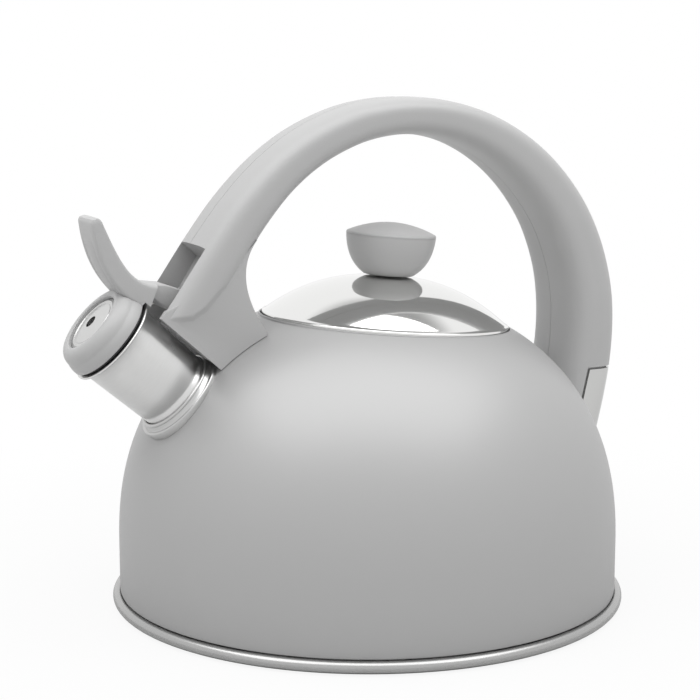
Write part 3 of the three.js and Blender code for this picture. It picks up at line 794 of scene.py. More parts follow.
def loft(name, rings):
    """A closed skin over a row of rings of points."""
    count = len(rings[0])
    points = [p for ring in rings for p in ring]
    faces = []
    for i in range(len(rings) - 1):
        for j in range(count):
            k = (j + 1) % count
            here, there = i * count, (i + 1) * count
            faces.append((here + j, here + k, there + k, there + j))
    last = (len(rings) - 1) * count
    faces.append(tuple(reversed(range(count))))
    faces.append(tuple(range(last, last + count)))
    return face_out(new_object(name, points, faces))


# ---------- frames ----------
TO_LID = Matrix.Translation(Vector(LID_CENTRE) * MM) @ Matrix.Rotation(
    math.radians(LID_TILT), 4, "Y"
)
TO_SPOUT = Matrix.Translation(Vector(MOUTH) * MM) @ Matrix.Rotation(
    math.radians(SPOUT_PITCH - 90), 4, "Y"
)


def near_spout(out, above):
    """A point of the XZ plane from its distance out of the mouth and above the spout's axis."""
    point = TO_SPOUT @ (Vector((above, 0, out)) * MM) / MM
    return point.x, point.z


# ---------- shared shapes ----------
def dome_line(offset, steps=72, last=90):
    """The dome's outline from the shoulder upwards, moved outwards by a distance."""
    found = []
    for i in range(steps + 1):
        turn = math.radians(last * i / steps)
        r = (BODY_RADIUS + offset) * math.cos(turn) ** (2 / DOME_POWER)
        if i == steps and last == 90:
            r = 0
        z = SHOULDER + (DOME_RISE + offset) * math.sin(turn) ** (2 / DOME_POWER)
        found.append((r, z))
    return found


def dome_solid(offset):
    return turned("dome", [(0, 0), (BODY_RADIUS + offset, 0), *dome_line(offset)], closed=False)


def lid_line(r):
    return LID_RISE * (1 - (r / LID_RADIUS) ** LID_POWER)


def catmull(points, u):
    """A point of a centripetal Catmull-Rom curve, and its direction."""
    points = [np.array(p, float) for p in points]
    last = len(points) - 1
    where = min(max(u, 0), 1) * last
    i = min(int(where), last - 1)
    t = where - i
    before = points[i - 1] if i else 2 * points[0] - points[1]
    after = points[i + 2] if i + 2 <= last else 2 * points[last] - points[last - 1]
    a, b = points[i], points[i + 1]
    steps = [np.linalg.norm(q - p) ** 0.5 for p, q in ((before, a), (a, b), (b, after))]
    if steps[1] < 1e-4:
        steps[1] = 1.0
    steps[0] = steps[0] if steps[0] >= 1e-4 else steps[1]
    steps[2] = steps[2] if steps[2] >= 1e-4 else steps[1]
    t1 = (a - before) / steps[0] - (b - before) / (steps[0] + steps[1]) + (b - a) / steps[1]
    t2 = (b - a) / steps[1] - (after - a) / (steps[1] + steps[2]) + (after - b) / steps[2]
    t1, t2 = t1 * steps[1], t2 * steps[1]
    c2 = -3 * a + 3 * b - 2 * t1 - t2
    c3 = 2 * a - 2 * b + t1 + t2
    return a + t1 * t + c2 * t * t + c3 * t**3, t1 + 2 * c2 * t + 3 * c3 * t * t


def handle_at(place):
    """Centre, outward direction and half sizes of the handle at a place along its stations."""
    u = place / (len(HANDLE_STATIONS) - 1)
    centre, along = catmull([(x, z) for x, z, _, _ in HANDLE_STATIONS], u)
    size, _ = catmull([(thick, wide) for _, _, thick, wide in HANDLE_STATIONS], u)
    along = along / np.linalg.norm(along)
    return centre, np.array((-along[1], along[0])), size


def handle_ring(place, inset, corners):
    """The handle's rounded section at a place, taken in all round by an inset."""
    centre, outward, (thick, wide) = handle_at(place)
    ring = []
    for i in range(corners):
        turn = math.tau * i / corners
        sine, cosine = math.sin(turn), math.cos(turn)
        high = math.copysign(abs(sine) ** (2 / HANDLE_POWER), sine) * (thick - inset)
        y = math.copysign(abs(cosine) ** (2 / HANDLE_POWER), cosine) * (wide - inset)
        ring.append((centre[0] + outward[0] * high, y, centre[1] + outward[1] * high))
    return ring


def handle_sweep(name, start, end, inset=0.0, steps=150, corners=96):
    return loft(
        name,
        [handle_ring(start + (end - start) * i / steps, inset, corners) for i in range(steps + 1)],
    )


# ---------- pieces ----------
class KettleOperator(bpy.types.Operator):
    """Shared by the operators: each builds its pieces or raises an error."""

    bl_options = {"REGISTER", "UNDO"}

    def execute(self, context):
        self.build(context.scene.kettle_sizes)
        return {"FINISHED"}


class KETTLE_OT_body(KettleOperator):
    """Enamelled dome with the lid's seat and the spout's hole."""

    bl_idname = "kettle.body"
    bl_label = "Body"

    def build(self, sizes):
        outer = [(BODY_RADIUS - 0.5, BODY_FOOT), (BODY_RADIUS - 0.12, BODY_FOOT + 0.15)]
        outer += [(BODY_RADIUS, BODY_FOOT + 0.6), *dome_line(0, DOME_STEPS, DOME_END)]
        inner = [(BODY_RADIUS - BODY_WALL, BODY_FOOT)]
        inner += dome_line(-BODY_WALL, DOME_STEPS, DOME_END)
        body = turned("body_skin", outer + inner[::-1], sides=sizes.sides + 32)
        wide = LID_OPENING + OPENING_FIT
        opening = [(0, -SEAT_DEPTH), (wide, -SEAT_DEPTH), (wide, PAST), (0, PAST)]
        carve(body, turned("opening", opening, TO_LID, closed=False))
        narrow = ROOT_RADIUS + SPOUT_FIT
        hole = [(0, -PAST), (narrow, -PAST), (narrow, 0), (0, 0)]
        carve(body, turned("hole", hole, TO_SPOUT, closed=False))
        complete(body, "kettle", "enamel", "enamel", "body_shell")
        rim = [(LID_OPENING, -0.9), *arc((LID_OPENING + 0.3, -0.8), 0.3, 180, 90, 4)]
        rim += [(LID_OPENING + 0.6, -0.7), (LID_OPENING + 1, -SEAT_DEPTH)]
        inside = (SEAT_INNER + SEAT_ROUND, SEAT_ROUND - SEAT_DEPTH)
        rim += [(SEAT_INNER, -SEAT_DEPTH), *arc(inside, SEAT_ROUND, 180, 90, 4)]
        rim += [(LID_OPENING, -2.4)]
        seat = turned("seat_ring", rim, TO_LID)
        complete(seat, "kettle", "enamel", "enamel", "lid_seat")


class KETTLE_OT_base(KettleOperator):
    """Steel floor pan with its rolled rim, and the cover of the heat-spreading disc."""

    bl_idname = "kettle.base"
    bl_label = "Base"

    def build(self, sizes):
        centre = (BEAD_RADIUS, BEAD_HEIGHT)
        pan = [(0, PAN_FLOOR), (BEAD_RADIUS - 3.6, PAN_FLOOR), (BEAD_RADIUS - 3.0, 4.3)]
        pan += arc(centre, BEAD, *BEAD_ARC, 44)
        inside, low = PAN_UPSTAND - PAN_WALL, PAN_FLOOR + PAN_ROUND_RISE
        pan += [(PAN_UPSTAND, PAN_FLOOR + 0.3), (PAN_UPSTAND, PAN_TOP)]
        pan += [(inside, PAN_TOP), (inside, low)]
        pan += arc((inside - PAN_ROUND, low), PAN_ROUND, 0, -90, 6)
        pan += [(0, PAN_FLOOR + PAN_WALL)]
        dish = turned("base_dish", pan, closed=False, sides=sizes.sides + 32)
        complete(dish, "kettle", "satin_steel", "satin base painted shade", "base_pan")
        foot = arc((COVER_RADIUS - COVER_ROUND, COVER_ROUND), COVER_ROUND, -90, 0, 6)
        cover = [(0, 0), *foot, (COVER_RADIUS, COVER_TOP), (COVER_RADIUS - COVER_WALL, COVER_TOP)]
        cover += [(COVER_RADIUS - COVER_WALL, COVER_WALL), (0, COVER_WALL)]
        plate_piece = turned("base_plate", cover, closed=False)
        complete(plate_piece, "kettle", "satin_steel", "satin base painted shade", "base_cover")


class KETTLE_OT_lid(KettleOperator):
    """Polished lid, its seating ring and its knob."""

    bl_idname = "kettle.lid"
    bl_label = "Lid"

    def build(self, sizes):
        radii = [LID_HOLE + (LID_RADIUS - 1.0 - LID_HOLE) * i / 64 for i in range(65)]
        top = [(r, lid_line(r)) for r in radii]
        turn = LID_RADIUS - LID_EDGE_ROUND
        edge = arc((turn, lid_line(turn) - 0.55), LID_EDGE_ROUND, 52, 0, 6)
        edge += [(LID_RADIUS, -LID_EDGE + 0.3)]
        edge += arc((LID_RADIUS - 0.4, -LID_EDGE + 0.3), 0.4, 0, -180, 8)
        under = [(r, lid_line(r) - LID_WALL) for r in radii if r < LID_RADIUS - LID_WALL]
        dome = turned("lid_dome", top + edge + under[::-1], TO_LID, sides=sizes.sides + 32)
        complete(dome, "lid", "polished_steel", "polished lid", "lid_shell", crease=50)
        high = lid_line(SKIRT_RADIUS) - SKIRT_DROP
        flange, inner = SKIRT_RADIUS - SKIRT_FLANGE, SKIRT_RADIUS - SKIRT_WALL
        skirt = [(SKIRT_RADIUS, -SKIRT_DEPTH + 0.3), (SKIRT_RADIUS, high - 0.5)]
        skirt += [*arc((SKIRT_RADIUS - 0.5, high - 0.5), 0.5, 0, 90, 4), (flange, high)]
        skirt += [(flange, high - SKIRT_WALL), (inner, high - SKIRT_WALL)]
        skirt += [(inner, -SKIRT_DEPTH + 0.3), (SKIRT_RADIUS - 0.4, -SKIRT_DEPTH)]
        ring = turned("lid_ring", skirt, TO_LID)
        complete(ring, "lid", "satin_steel", "satin lid", "lid_skirt")
        rim = (KNOB_RIM, KNOB_FOOT + KNOB_RIM_HEIGHT)
        peak = rim[1] + KNOB_CROWN
        belly = (KNOB_RIM * 0.98, KNOB_FOOT + KNOB_BELLY)
        bowl = bezier([(KNOB_BASE, KNOB_FOOT), belly, rim], 48)
        crown = bezier([rim, (KNOB_RIM * 0.5, peak), (0, peak)], 48)
        side, height = bowl[-3]
        lip = [(side, height), (side - 0.14, height + 0.04), (side - 0.12, height + 0.22)]
        lip += bezier([(side + 0.04, height + 0.26), rim, crown[1]], 5)
        bore = KNOB_FOOT + KNOB_BORE_DEPTH
        outline = [(0, bore), (KNOB_BORE, bore), (KNOB_BORE, KNOB_FOOT)]
        outline += [(KNOB_BASE - 0.5, KNOB_FOOT)]
        outline += bowl[1:-3] + lip + crown[2:]
        knob = turned("knob", outline, TO_LID, closed=False)
        complete(knob, "lid", "grey_nylon", "grey nylon", "lid_knob")


class KETTLE_OT_spout(KettleOperator):
    """Stub spout with its rolled mouth, and the collar at its root."""

    bl_idname = "kettle.spout"
    bl_label = "Spout"

    def build(self, sizes):
        slope = (MOUTH_RADIUS - ROOT_RADIUS) / SPOUT_LENGTH

        def skin(z):
            """The tube's outer radius at a distance out of its mouth."""
            return MOUTH_RADIUS + slope * z

        lip = arc((FLANGE_RADIUS - FLANGE / 2, -FLANGE / 2), FLANGE / 2, 90, -90, 10)
        outline = [(MOUTH_RADIUS - SPOUT_WALL, -0.4), (MOUTH_RADIUS - SPOUT_WALL + 0.4, 0), *lip]
        outline += [(skin(-1.3) + 0.3, -FLANGE), (skin(-1.5), -1.5)]
        groove = COLLAR_FRONT + GROOVE_AHEAD
        sunk = skin(groove) - 0.3
        outline += [(skin(z), z) for z in (-8, -16, -24, groove + 1.2)]
        outline += [(sunk, groove + 0.6), (sunk, groove - 0.4), (skin(groove), groove - 0.9)]
        outline += [(ROOT_RADIUS, -SPOUT_LENGTH), (ROOT_RADIUS - SPOUT_WALL, -SPOUT_LENGTH)]
        tube = turned("spout_pipe", outline, TO_SPOUT)
        complete(tube, "kettle", "satin_steel", "satin spout", "spout_tube", crease=40)
        inner, root = skin(COLLAR_FRONT) + SPOUT_FIT, COLLAR_FRONT - COLLAR_DEPTH
        flare = [(inner, root), (inner, COLLAR_FRONT + 0.6)]
        flare += arc((inner + 0.8, COLLAR_FRONT + 0.6), 0.8, 170, -30, 10)
        flare += [(inner + 1.9, COLLAR_FRONT - 0.9), (COLLAR_RADIUS - 1.4, COLLAR_FRONT - 1.4)]
        flare += arc((COLLAR_RADIUS - 0.7, COLLAR_FRONT - 1.9), 0.7, 130, 0, 8)
        flare += [(COLLAR_RADIUS, root)]
        collar = turned("spout_flare", flare, TO_SPOUT)
        carve(collar, dome_solid(0.05))
        complete(collar, "kettle", "satin_steel", "satin collar painted shade", "spout_collar", crease=40)


def cap_outline(grow=0.0):
    """The whistle cap's outside, from its rear edge to its front lip."""
    shoulder, narrow = CAP_FRONT - CAP_ROUND, CAP_RADIUS - 0.9
    side = arc((CAP_RADIUS - 0.4, CAP_REAR + 0.4), 0.4, -60, 0, 4)
    side += bezier([(CAP_RADIUS, CAP_REAR + 0.6), (CAP_RADIUS, 4.4), (narrow, shoulder)], 6)[1:]
    across = narrow - CAP_FRONT_RADIUS
    side += arc((CAP_FRONT_RADIUS, shoulder), across, 0, 90, 18, CAP_ROUND)[1:]
    return [(r + grow, z + grow) for r, z in side]


class KETTLE_OT_whistle(KettleOperator):
    """Whistle cap with its ribbed top, its two pierced discs, liner and gasket."""

    bl_idname = "kettle.whistle"
    bl_label = "Whistle"

    def build(self, sizes):
        opening = DISC_RADIUS + 0.4
        outline = [*cap_outline(), (opening + 0.4, CAP_FRONT - 0.15), (opening, CAP_FRONT - 0.6)]
        outline += [(opening, CAP_LEDGE), (CAP_CAVITY, CAP_LEDGE), (CAP_CAVITY, CAP_REAR)]
        cap = turned("whistle_hood", outline, sides=sizes.sides + 32)
        self.raise_rib(cap, sizes.hump)
        cap.data.transform(TO_SPOUT)
        complete(cap, "whistle", "grey_nylon", "grey nylon", "whistle_cap")
        front, fit, inner = DISC_FRONT, CAP_CAVITY - CAVITY_FIT, DISC_RADIUS - DISC_WALL
        bulge = sizes.bulge / MM
        radii = np.linspace(DISC_HOLE, DISC_DISH, 14)
        dish = [(r, front + bulge * (1 - (r / 10.3) ** 2)) for r in radii]
        rim = [(10.0, front - 0.08), (10.25, front - 0.08), (10.35, front + 0.04)]
        rim += [*arc((11.2, front - 0.3), 0.5, 140, 40, 8), (DISC_RADIUS, front - 0.4)]
        edge = [(DISC_RADIUS, DISC_STEP), (fit, DISC_STEP), (fit, DISC_BACK)]
        edge += [(inner, DISC_BACK), (inner, front - 1.0)]
        under = [(r, z - DISC_WALL) for r, z in dish[::-1]]
        disc = turned("whistle_disc", dish + rim + edge + under, TO_SPOUT)
        complete(disc, "whistle", "satin_steel", "whistle disc painted shade", "whistle_front_disc", crease=40)
        low = REAR_DISC_FRONT - DISC_WALL
        inside = [(DISC_HOLE, low), (fit, low), (fit, REAR_DISC_FRONT)]
        rear = turned("whistle_back_disc", [*inside, (DISC_HOLE, REAR_DISC_FRONT)], TO_SPOUT)
        complete(rear, "whistle", "satin_steel", "whistle disc painted shade", "whistle_rear_disc")
        top, rear_edge = low - CAVITY_FIT, CAP_REAR + CAVITY_FIT
        cup = [(fit - LINER_WALL, rear_edge), (fit, rear_edge), (fit, top - 0.4)]
        cup += [(fit - 0.4, top), (fit - 4, top), (fit - 4, top - LINER_WALL)]
        liner = turned("whistle_liner", [*cup, (fit - LINER_WALL, top - LINER_WALL)], TO_SPOUT)
        complete(liner, "whistle", "satin_steel", "satin spout", "cap_liner")
        grip, lift = CAP_CAVITY - LINER_WALL - 0.6, low - LINER_WALL - 0.6
        plug, lip = GASKET_PLUG - GASKET_ROUND, FLANGE_RADIUS - 1.9
        seal = [(GASKET_PLUG - 0.8, -2), *arc((plug, -1.6), GASKET_ROUND, -90, 0, 4)]
        seal += [(GASKET_PLUG + GASKET_ROUND, 0.3), (lip, 0.3)]
        seal += [*arc((lip, 0.7), GASKET_ROUND, -90, 90, 6), (grip, 1.1), (grip, lift)]
        seal += [(grip - 0.8, lift), (GASKET_PLUG - 0.8, 1.1)]
        gasket = turned("whistle_gasket", seal, TO_SPOUT)
        complete(gasket, "whistle", "silicone", "black silicone and gap shade", "cap_gasket")

    @staticmethod
    def raise_rib(cap, height):
        """A rounded rib along the top of the cap, which runs out towards the front lip."""
        mesh = cap.data
        flat = np.zeros(len(mesh.vertices) * 3)
        mesh.vertices.foreach_get("co", flat)
        spots = flat.reshape(-1, 3)
        radius = np.hypot(spots[:, 0], spots[:, 1])
        turn = np.arctan2(spots[:, 1], spots[:, 0])
        outside = np.clip((radius / MM - CAP_CAVITY + 0.6) / 1.5, 0, 1)
        on_front = np.clip((radius / MM - 13.2) / 1.2, 0, 1)
        outside = np.where(spots[:, 2] / MM > 8.5, on_front, outside)
        lift = height * np.exp(-((turn / RIB_SPREAD) ** 4)) * outside
        spots[:, 0] += lift * np.cos(turn)
        spots[:, 1] += lift * np.sin(turn)
        spots[:, 2] += lift * 0.25 * np.clip((spots[:, 2] / MM - 6) / 4, 0, 1)
        mesh.vertices.foreach_set("co", spots.ravel())


class KETTLE_OT_lever(KettleOperator):
    """Thumb lever: a curved blade with grooves below, a tongue and an eye round the pin."""

    bl_idname = "kettle.lever"
    bl_label = "Lever"

    def build(self, sizes):
        (end_x, end_z), (run, rise) = LEVER_TIP_UNDER[-1], LEVER_ROOT_UNDER
        under = bezier(LEVER_TIP_UNDER, 60)
        under += [(end_x + run * i / 12, end_z + rise * i / 12) for i in range(1, 13)]
        over = bezier(LEVER_OVER, 72)
        blade = loft("lever_blade", list(self.rings(under, over, sizes.groove / MM)))
        carve(blade, plate("tongue", TONGUE, -TONGUE_HALF, TONGUE_HALF, 0.7), "UNION")
        eye_half = TONGUE_HALF - 0.02
        carve(blade, rod("eye", EYE_RADIUS, PIN, -eye_half, eye_half, 64, 0.5), "UNION")
        carve(blade, rod("pin_hole", PIN_RADIUS + 0.15, PIN, -20, 20))
        core = [(0, -8), (FLANGE_RADIUS + 1, -8), (FLANGE_RADIUS + 1, CAP_REAR), *cap_outline(0.1)]
        carve(blade, turned("cap_space", [*core, (0, CAP_FRONT + 0.1)], TO_SPOUT, closed=False))
        blade.name = "lever_arm"
        complete(blade, "whistle", "grey_nylon", "grey nylon", "lever")

    @staticmethod
    def rings(under, over, groove):
        """Rounded sections from the tip to the root, grooved along the underside."""
        count = len(under)
        for i, (low, high) in enumerate(zip(under, over)):
            low, high = np.array(low), np.array(high)
            middle, half = (low + high) / 2, (high - low) / 2
            share = i / (count - 1)
            tip = max(1 - (1 - min(share / 0.03, 1)) ** 3, 0.35) ** 0.5
            thick = np.linalg.norm(half)
            half, wide = half * tip, LEVER_HALF * (0.9 + 0.1 * tip)
            ring = []
            for j in range(LEVER_CORNERS):
                turn = math.tau * j / LEVER_CORNERS
                sine, cosine = math.sin(turn), math.cos(turn)
                y = math.copysign(abs(cosine) ** LEVER_SQUARENESS, cosine) * wide
                up = math.copysign(abs(sine) ** LEVER_SQUARENESS, sine)
                if sine < 0 and abs(y) < GROOVES_HALF:
                    window = min(max((share - 0.12) / 0.1, 0), 1)
                    window *= min(max((0.72 - share) / 0.1, 0), 1)
                    wave = max(math.cos(math.tau * y / GROOVE_PITCH + math.pi), 0)
                    up += groove * wave * window / thick
                spot = middle + half * up
                ring.append((spot[0], y, spot[1]))
            yield ring


def bench(outline):
    """An outline of distances down and into the front leg, as points of the XZ plane."""
    top, down = np.array((-79.2, 156)), np.array((-0.592, -0.806))
    deep = np.array((-down[1], down[0]))
    return [tuple(top + down * a + deep * b) for a, b in outline]


def below_leg():
    """All that lies under the front leg's lower face."""
    corners = [near_spout(30, HANDLE_FLOOR), near_spout(-64, HANDLE_FLOOR)]
    corners += [near_spout(-64, -PAST), near_spout(30, -PAST)]
    return plate("below_leg", corners, -PAST, PAST)


def rear_notch(shrink):
    """The space round the rear leg's foot that the bracket takes."""
    top = 95.1 - shrink
    outline = [(98.7 + shrink, top), (140, top), (140, 20), (80, 20), (92 + shrink, 66)]
    return plate("rear_notch", outline, -40, 40)


def screw_spots():
    """Where the joining screws cross the handle."""
    return [tuple(handle_at(place)[0]) for place in SCREW_PLACES] + [FRONT_SCREW]


class KETTLE_OT_handle(KettleOperator):
    """The arched handle: two moulded halves with a fine seam, a webbed front leg and a slot."""

    bl_idname = "kettle.handle"
    bl_label = "Handle"

    def build(self, sizes):
        whole = self.leg()
        carve(whole, rear_notch(0))
        tenon = handle_sweep("tenon", *TENON_PLACES, BRACKET_WALL + TENON_FIT, 16)
        carve(whole, tenon, "UNION")
        web = [*bezier(WEB_EDGE, 40), *WEB_ROOT, *bench(WEB_FRONT)]
        carve(whole, plate("web", web, -WEB_HALF, WEB_HALF, 1.6, 5), "UNION")
        carve(whole, below_leg())
        carve(whole, dome_solid(0.3))
        tube, wide = MOUTH_RADIUS + SPOUT_RELIEF, COLLAR_RADIUS + SPOUT_RELIEF
        step = COLLAR_FRONT + 2.4
        space = [(0, 20), (tube, 20), (tube, step), (wide, step), (wide, -70), (0, -70)]
        carve(whole, turned("spout_space", space, TO_SPOUT, closed=False))
        carve(whole, plate("slot", bench(SLOT), -SLOT_HALF, SLOT_HALF))
        for x, z in screw_spots():
            carve(whole, rod("screw_seat", SCREW_SEAT_RADIUS, (x, z), HEAD_SEAT, 40))
        halves = (("handle_left", "handle_near", -1), ("handle_right", "handle_far", 1))
        for name, node, side in halves:
            half = whole.copy()
            half.data = whole.data.copy()
            half.name = name
            bpy.context.scene.collection.objects.link(half)
            reach = sorted((side * sizes.seam / MM / 2, side * PAST))
            square = [(-140, 0), (140, 0), (140, 240), (-140, 240)]
            carve(half, plate("half_space", square, *reach), "INTERSECT")
            complete(half, "kettle", "grey_nylon", "grey nylon", node)
        bpy.data.objects.remove(whole)

    @staticmethod
    def leg():
        """The sweep, with the front leg's sides sunk to the web's level beyond its end line."""
        stops = [LEG_PLACES * i / LEG_RINGS for i in range(LEG_RINGS)]
        stops += [LEG_PLACES + ARCH_PLACES * i / ARCH_RINGS for i in range(ARCH_RINGS + 1)]
        rings = [evened(handle_ring(stop, 0, 384), 160) for stop in stops]
        line = np.array(bench(LEG_END))
        for ring in rings[:LEG_RINGS]:
            for i, (x, y, z) in enumerate(ring):
                beyond = past_line(np.array((x, z)), line)
                ease = math.cos(math.pi * min(max(beyond / LEG_ROUND + 1, 0), 1))
                most = WEB_HALF - 0.1 + LEG_STEP * (1 + ease)
                ring[i] = (x, min(max(y, -most), most), z)
        return loft("handle_whole", rings)


def evened(ring, count):
    """A closed ring of points spaced evenly round it."""
    points = np.array([*ring, ring[0]])
    reach = np.concatenate([[0], np.cumsum(np.linalg.norm(np.diff(points, axis=0), axis=1))])
    spots = np.linspace(0, reach[-1], count, endpoint=False)
    return list(zip(*(np.interp(spots, reach, points[:, axis]) for axis in range(3))))


def past_line(spot, line):
    """How far a spot of the XZ plane lies beyond an open line, negative on its inner side."""
    best, side = 1e9, -1.0
    for a, b in zip(line[:-1], line[1:]):
        step = b - a
        share = min(max(float((spot - a) @ step / (step @ step)), 0), 1)
        gap = spot - a - step * share
        reach = float(np.hypot(*gap))
        if reach < best:
            best, side = reach, math.copysign(1, step[1] * gap[0] - step[0] * gap[1])
    return best * side


class KETTLE_OT_bracket(KettleOperator):
    """Polished steel bracket wrapped round the foot of the rear leg."""

    bl_idname = "kettle.bracket"
    bl_label = "Rear bracket"

    def build(self, sizes):
        shell = handle_sweep("bracket", *BRACKET_PLACES, 0, 60)
        inside = (BRACKET_INSIDE_START, BRACKET_PLACES[1])
        carve(shell, handle_sweep("inside", *inside, BRACKET_WALL, 60))
        carve(shell, rear_notch(BRACKET_GAP), "INTERSECT")
        carve(shell, dome_solid(0.2))
        for side in (-1, 1):
            sink = [(0, -5), (3.1, -5), (3.1, 0.9), (1.8, 2.3), (1.8, 14), (0, 14)]
            carve(shell, turned("sink", sink, rear_screw_place(side), closed=False, sides=48))
        complete(shell, "kettle", "polished_steel", "polished bracket painted shade", "rear_bracket", crease=40)


def rear_screw_place(side):
    """A sunk screw's frame on the bracket: its axis points into the leg."""
    centre, outward, (thick, _) = handle_at(REAR_SCREW_PLACE)
    seat = centre + outward * thick
    turn = Matrix.Rotation(math.atan2(-outward[0], -outward[1]), 4, "Y")
    spot = Vector((seat[0], side * REAR_SCREW_SPREAD, seat[1])) * MM
    return Matrix.Translation(spot) @ turn


def repeat_tree():
    """Puts a screw on every point, turned by the point's own angles."""
    if "repeated screw" in bpy.data.node_groups:
        return bpy.data.node_groups["repeated screw"]
    tree, net, given = tree_with(
        "repeated screw", [("Places", "Geometry"), ("Screw", "Object"), ("Finish", "Material")]
    )
    model = net.add("GeometryNodeObjectInfo", None, given["Screw"], out=4)
    turn = net.add("GeometryNodeInputNamedAttribute", {"data_type": "FLOAT_VECTOR"}, "turn")
    euler = net.add("FunctionNodeEulerToRotation", None, turn)
    copies = net.add(
        "GeometryNodeInstanceOnPoints", None,
        Points=given["Places"], Instance=model, Rotation=euler,
    )
    end_tree(net, copies, given["Finish"])
    return tree


def repeated(name, model, places):
    """One mesh of a model put at each place, which are matrices in metres."""
    piece = new_object(name, [tuple(place.translation / MM) for place in places])
    turns = piece.data.attributes.new("turn", "FLOAT_VECTOR", "POINT")
    turns.data.foreach_set("vector", [c for place in places for c in place.to_euler()])
    run_tree(piece, repeat_tree(), Screw=model)
    bpy.data.objects.remove(model)
    return piece


def spring_tree():
    """Draws a round wire along a path."""
    tree, net, given = tree_with(
        "wire on a path", [("Path", "Geometry"), ("Wire", "Float"), ("Finish", "Material")]
    )
    path = net.add("GeometryNodeMeshToCurve", None, given["Path"])
    ring = net.add(
        "GeometryNodeCurvePrimitiveCircle", None, Resolution=14, Radius=given["Wire"] / 2
    )
    wire = net.add(
        "GeometryNodeCurveToMesh", None, Curve=path, Profile__Curve=ring, Fill__Caps=True
    )
    end_tree(net, wire, given["Finish"])
    return tree


class KETTLE_OT_fixings(KettleOperator):
    """Screws, hinge pin and return spring."""

    bl_idname = "kettle.fixings"
    bl_label = "Fixings"

    def build(self, sizes):
        shank, head, low, end = SCREW_SHANK, SCREW_HEAD, SCREW_HEAD_TOP, SCREW_END
        outline = [(0, low), (head * 0.45, low + 0.06), (head * 0.8, low + 0.4)]
        outline += [(head, low + 0.95), (head, 0), (shank, 0), (shank, 21.9), (0.6, end), (0, end)]
        pan_screw = turned("pan_screw", outline, closed=False, sides=40)
        recess = [(-1.7, low - 1), (1.7, low - 1), (1.3, low + 0.95), (-1.3, low + 0.95)]
        for turn in (0, 90):
            cross = plate("cross", recess, -CROSS_HALF, CROSS_HALF)
            cross.data.transform(Matrix.Rotation(math.radians(turn), 4, "Z"))
            carve(pan_screw, cross)
        face = HEAD_SEAT + 0.3
        inward = Matrix.Rotation(math.pi / 2, 4, "X")
        places = [Matrix.Translation(Vector((x, face, z)) * MM) @ inward for x, z in screw_spots()]
        joining = repeated("joining_screws", pan_screw, places)
        names = [f"handle_screw_{i}" for i in range(1, 5)]
        complete(joining, "kettle", "fixing_steel", "zinc", *names)
        sunk = [(0, 0.6), (2.6, 0.6), (2.9, 0.75), (2.9, 0.95), (shank, 2.3), (shank, 11.6)]
        sunk += [(0.6, SUNK_END), (0, SUNK_END)]
        sunk_screw = turned("sunk_screw", sunk, closed=False, sides=40)
        slit = [(-3.2, -0.4), (3.2, -0.4), (3.2, 1.3), (-3.2, 1.3)]
        carve(sunk_screw, plate("slit", slit, -SLIT_HALF, SLIT_HALF))
        rear = repeated("rear_screws", sunk_screw, [rear_screw_place(-1), rear_screw_place(1)])
        complete(rear, "kettle", "fixing_steel", "zinc", "rear_screw_near", "rear_screw_far")
        pin = rod("hinge_pin", PIN_RADIUS, PIN, -PIN_REACH, PIN_REACH, 40, 0.3)
        complete(pin, "kettle", "fixing_steel", "zinc", "lever_pin")
        spring = new_object("lever_spring", *self.spring_path())
        run_tree(spring, spring_tree(), Wire=SPRING_WIRE * MM)
        complete(spring, "kettle", "fixing_steel", "zinc", "return_spring", crease=60)

    @staticmethod
    def spring_path():
        """The wire's points: a short leg, two and a half coils round the pin and a second leg."""
        side, radius, turns, pitch = TONGUE_HALF + 0.75, SPRING_RADIUS, SPRING_TURNS, SPRING_PITCH
        x, z = PIN
        points = [(x - 5.6, side, z + radius)]
        for i in range(SPRING_STEPS + 1):
            turn = math.pi / 2 - i / SPRING_STEPS * turns * math.tau
            y = side + pitch * turns * i / SPRING_STEPS
            points.append((x + radius * math.cos(turn), y, z + radius * math.sin(turn)))
        points.append((x - 5.2, side + pitch * turns, z - radius - 0.6))
        return points, (), [(i, i + 1) for i in range(len(points) - 1)]


class KETTLE_OT_frame_nodes(KettleOperator):
    """Finishes for the CAD pieces that are shown as they are."""

    bl_idname = "kettle.frame_nodes"
    bl_label = "Inner pieces"

    def build(self, sizes):
        looks = {
            "base_core": "aluminium",
            "cap_screw": "zinc",
            "knob_insert": "brass",
            "knob_washer": "zinc",
            "knob_screw": "zinc",
            "front_strap": "satin strap",
        }
        for node, look in looks.items():
            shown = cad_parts[node].data.materials
            shown.clear()
            shown.append(finish(look))


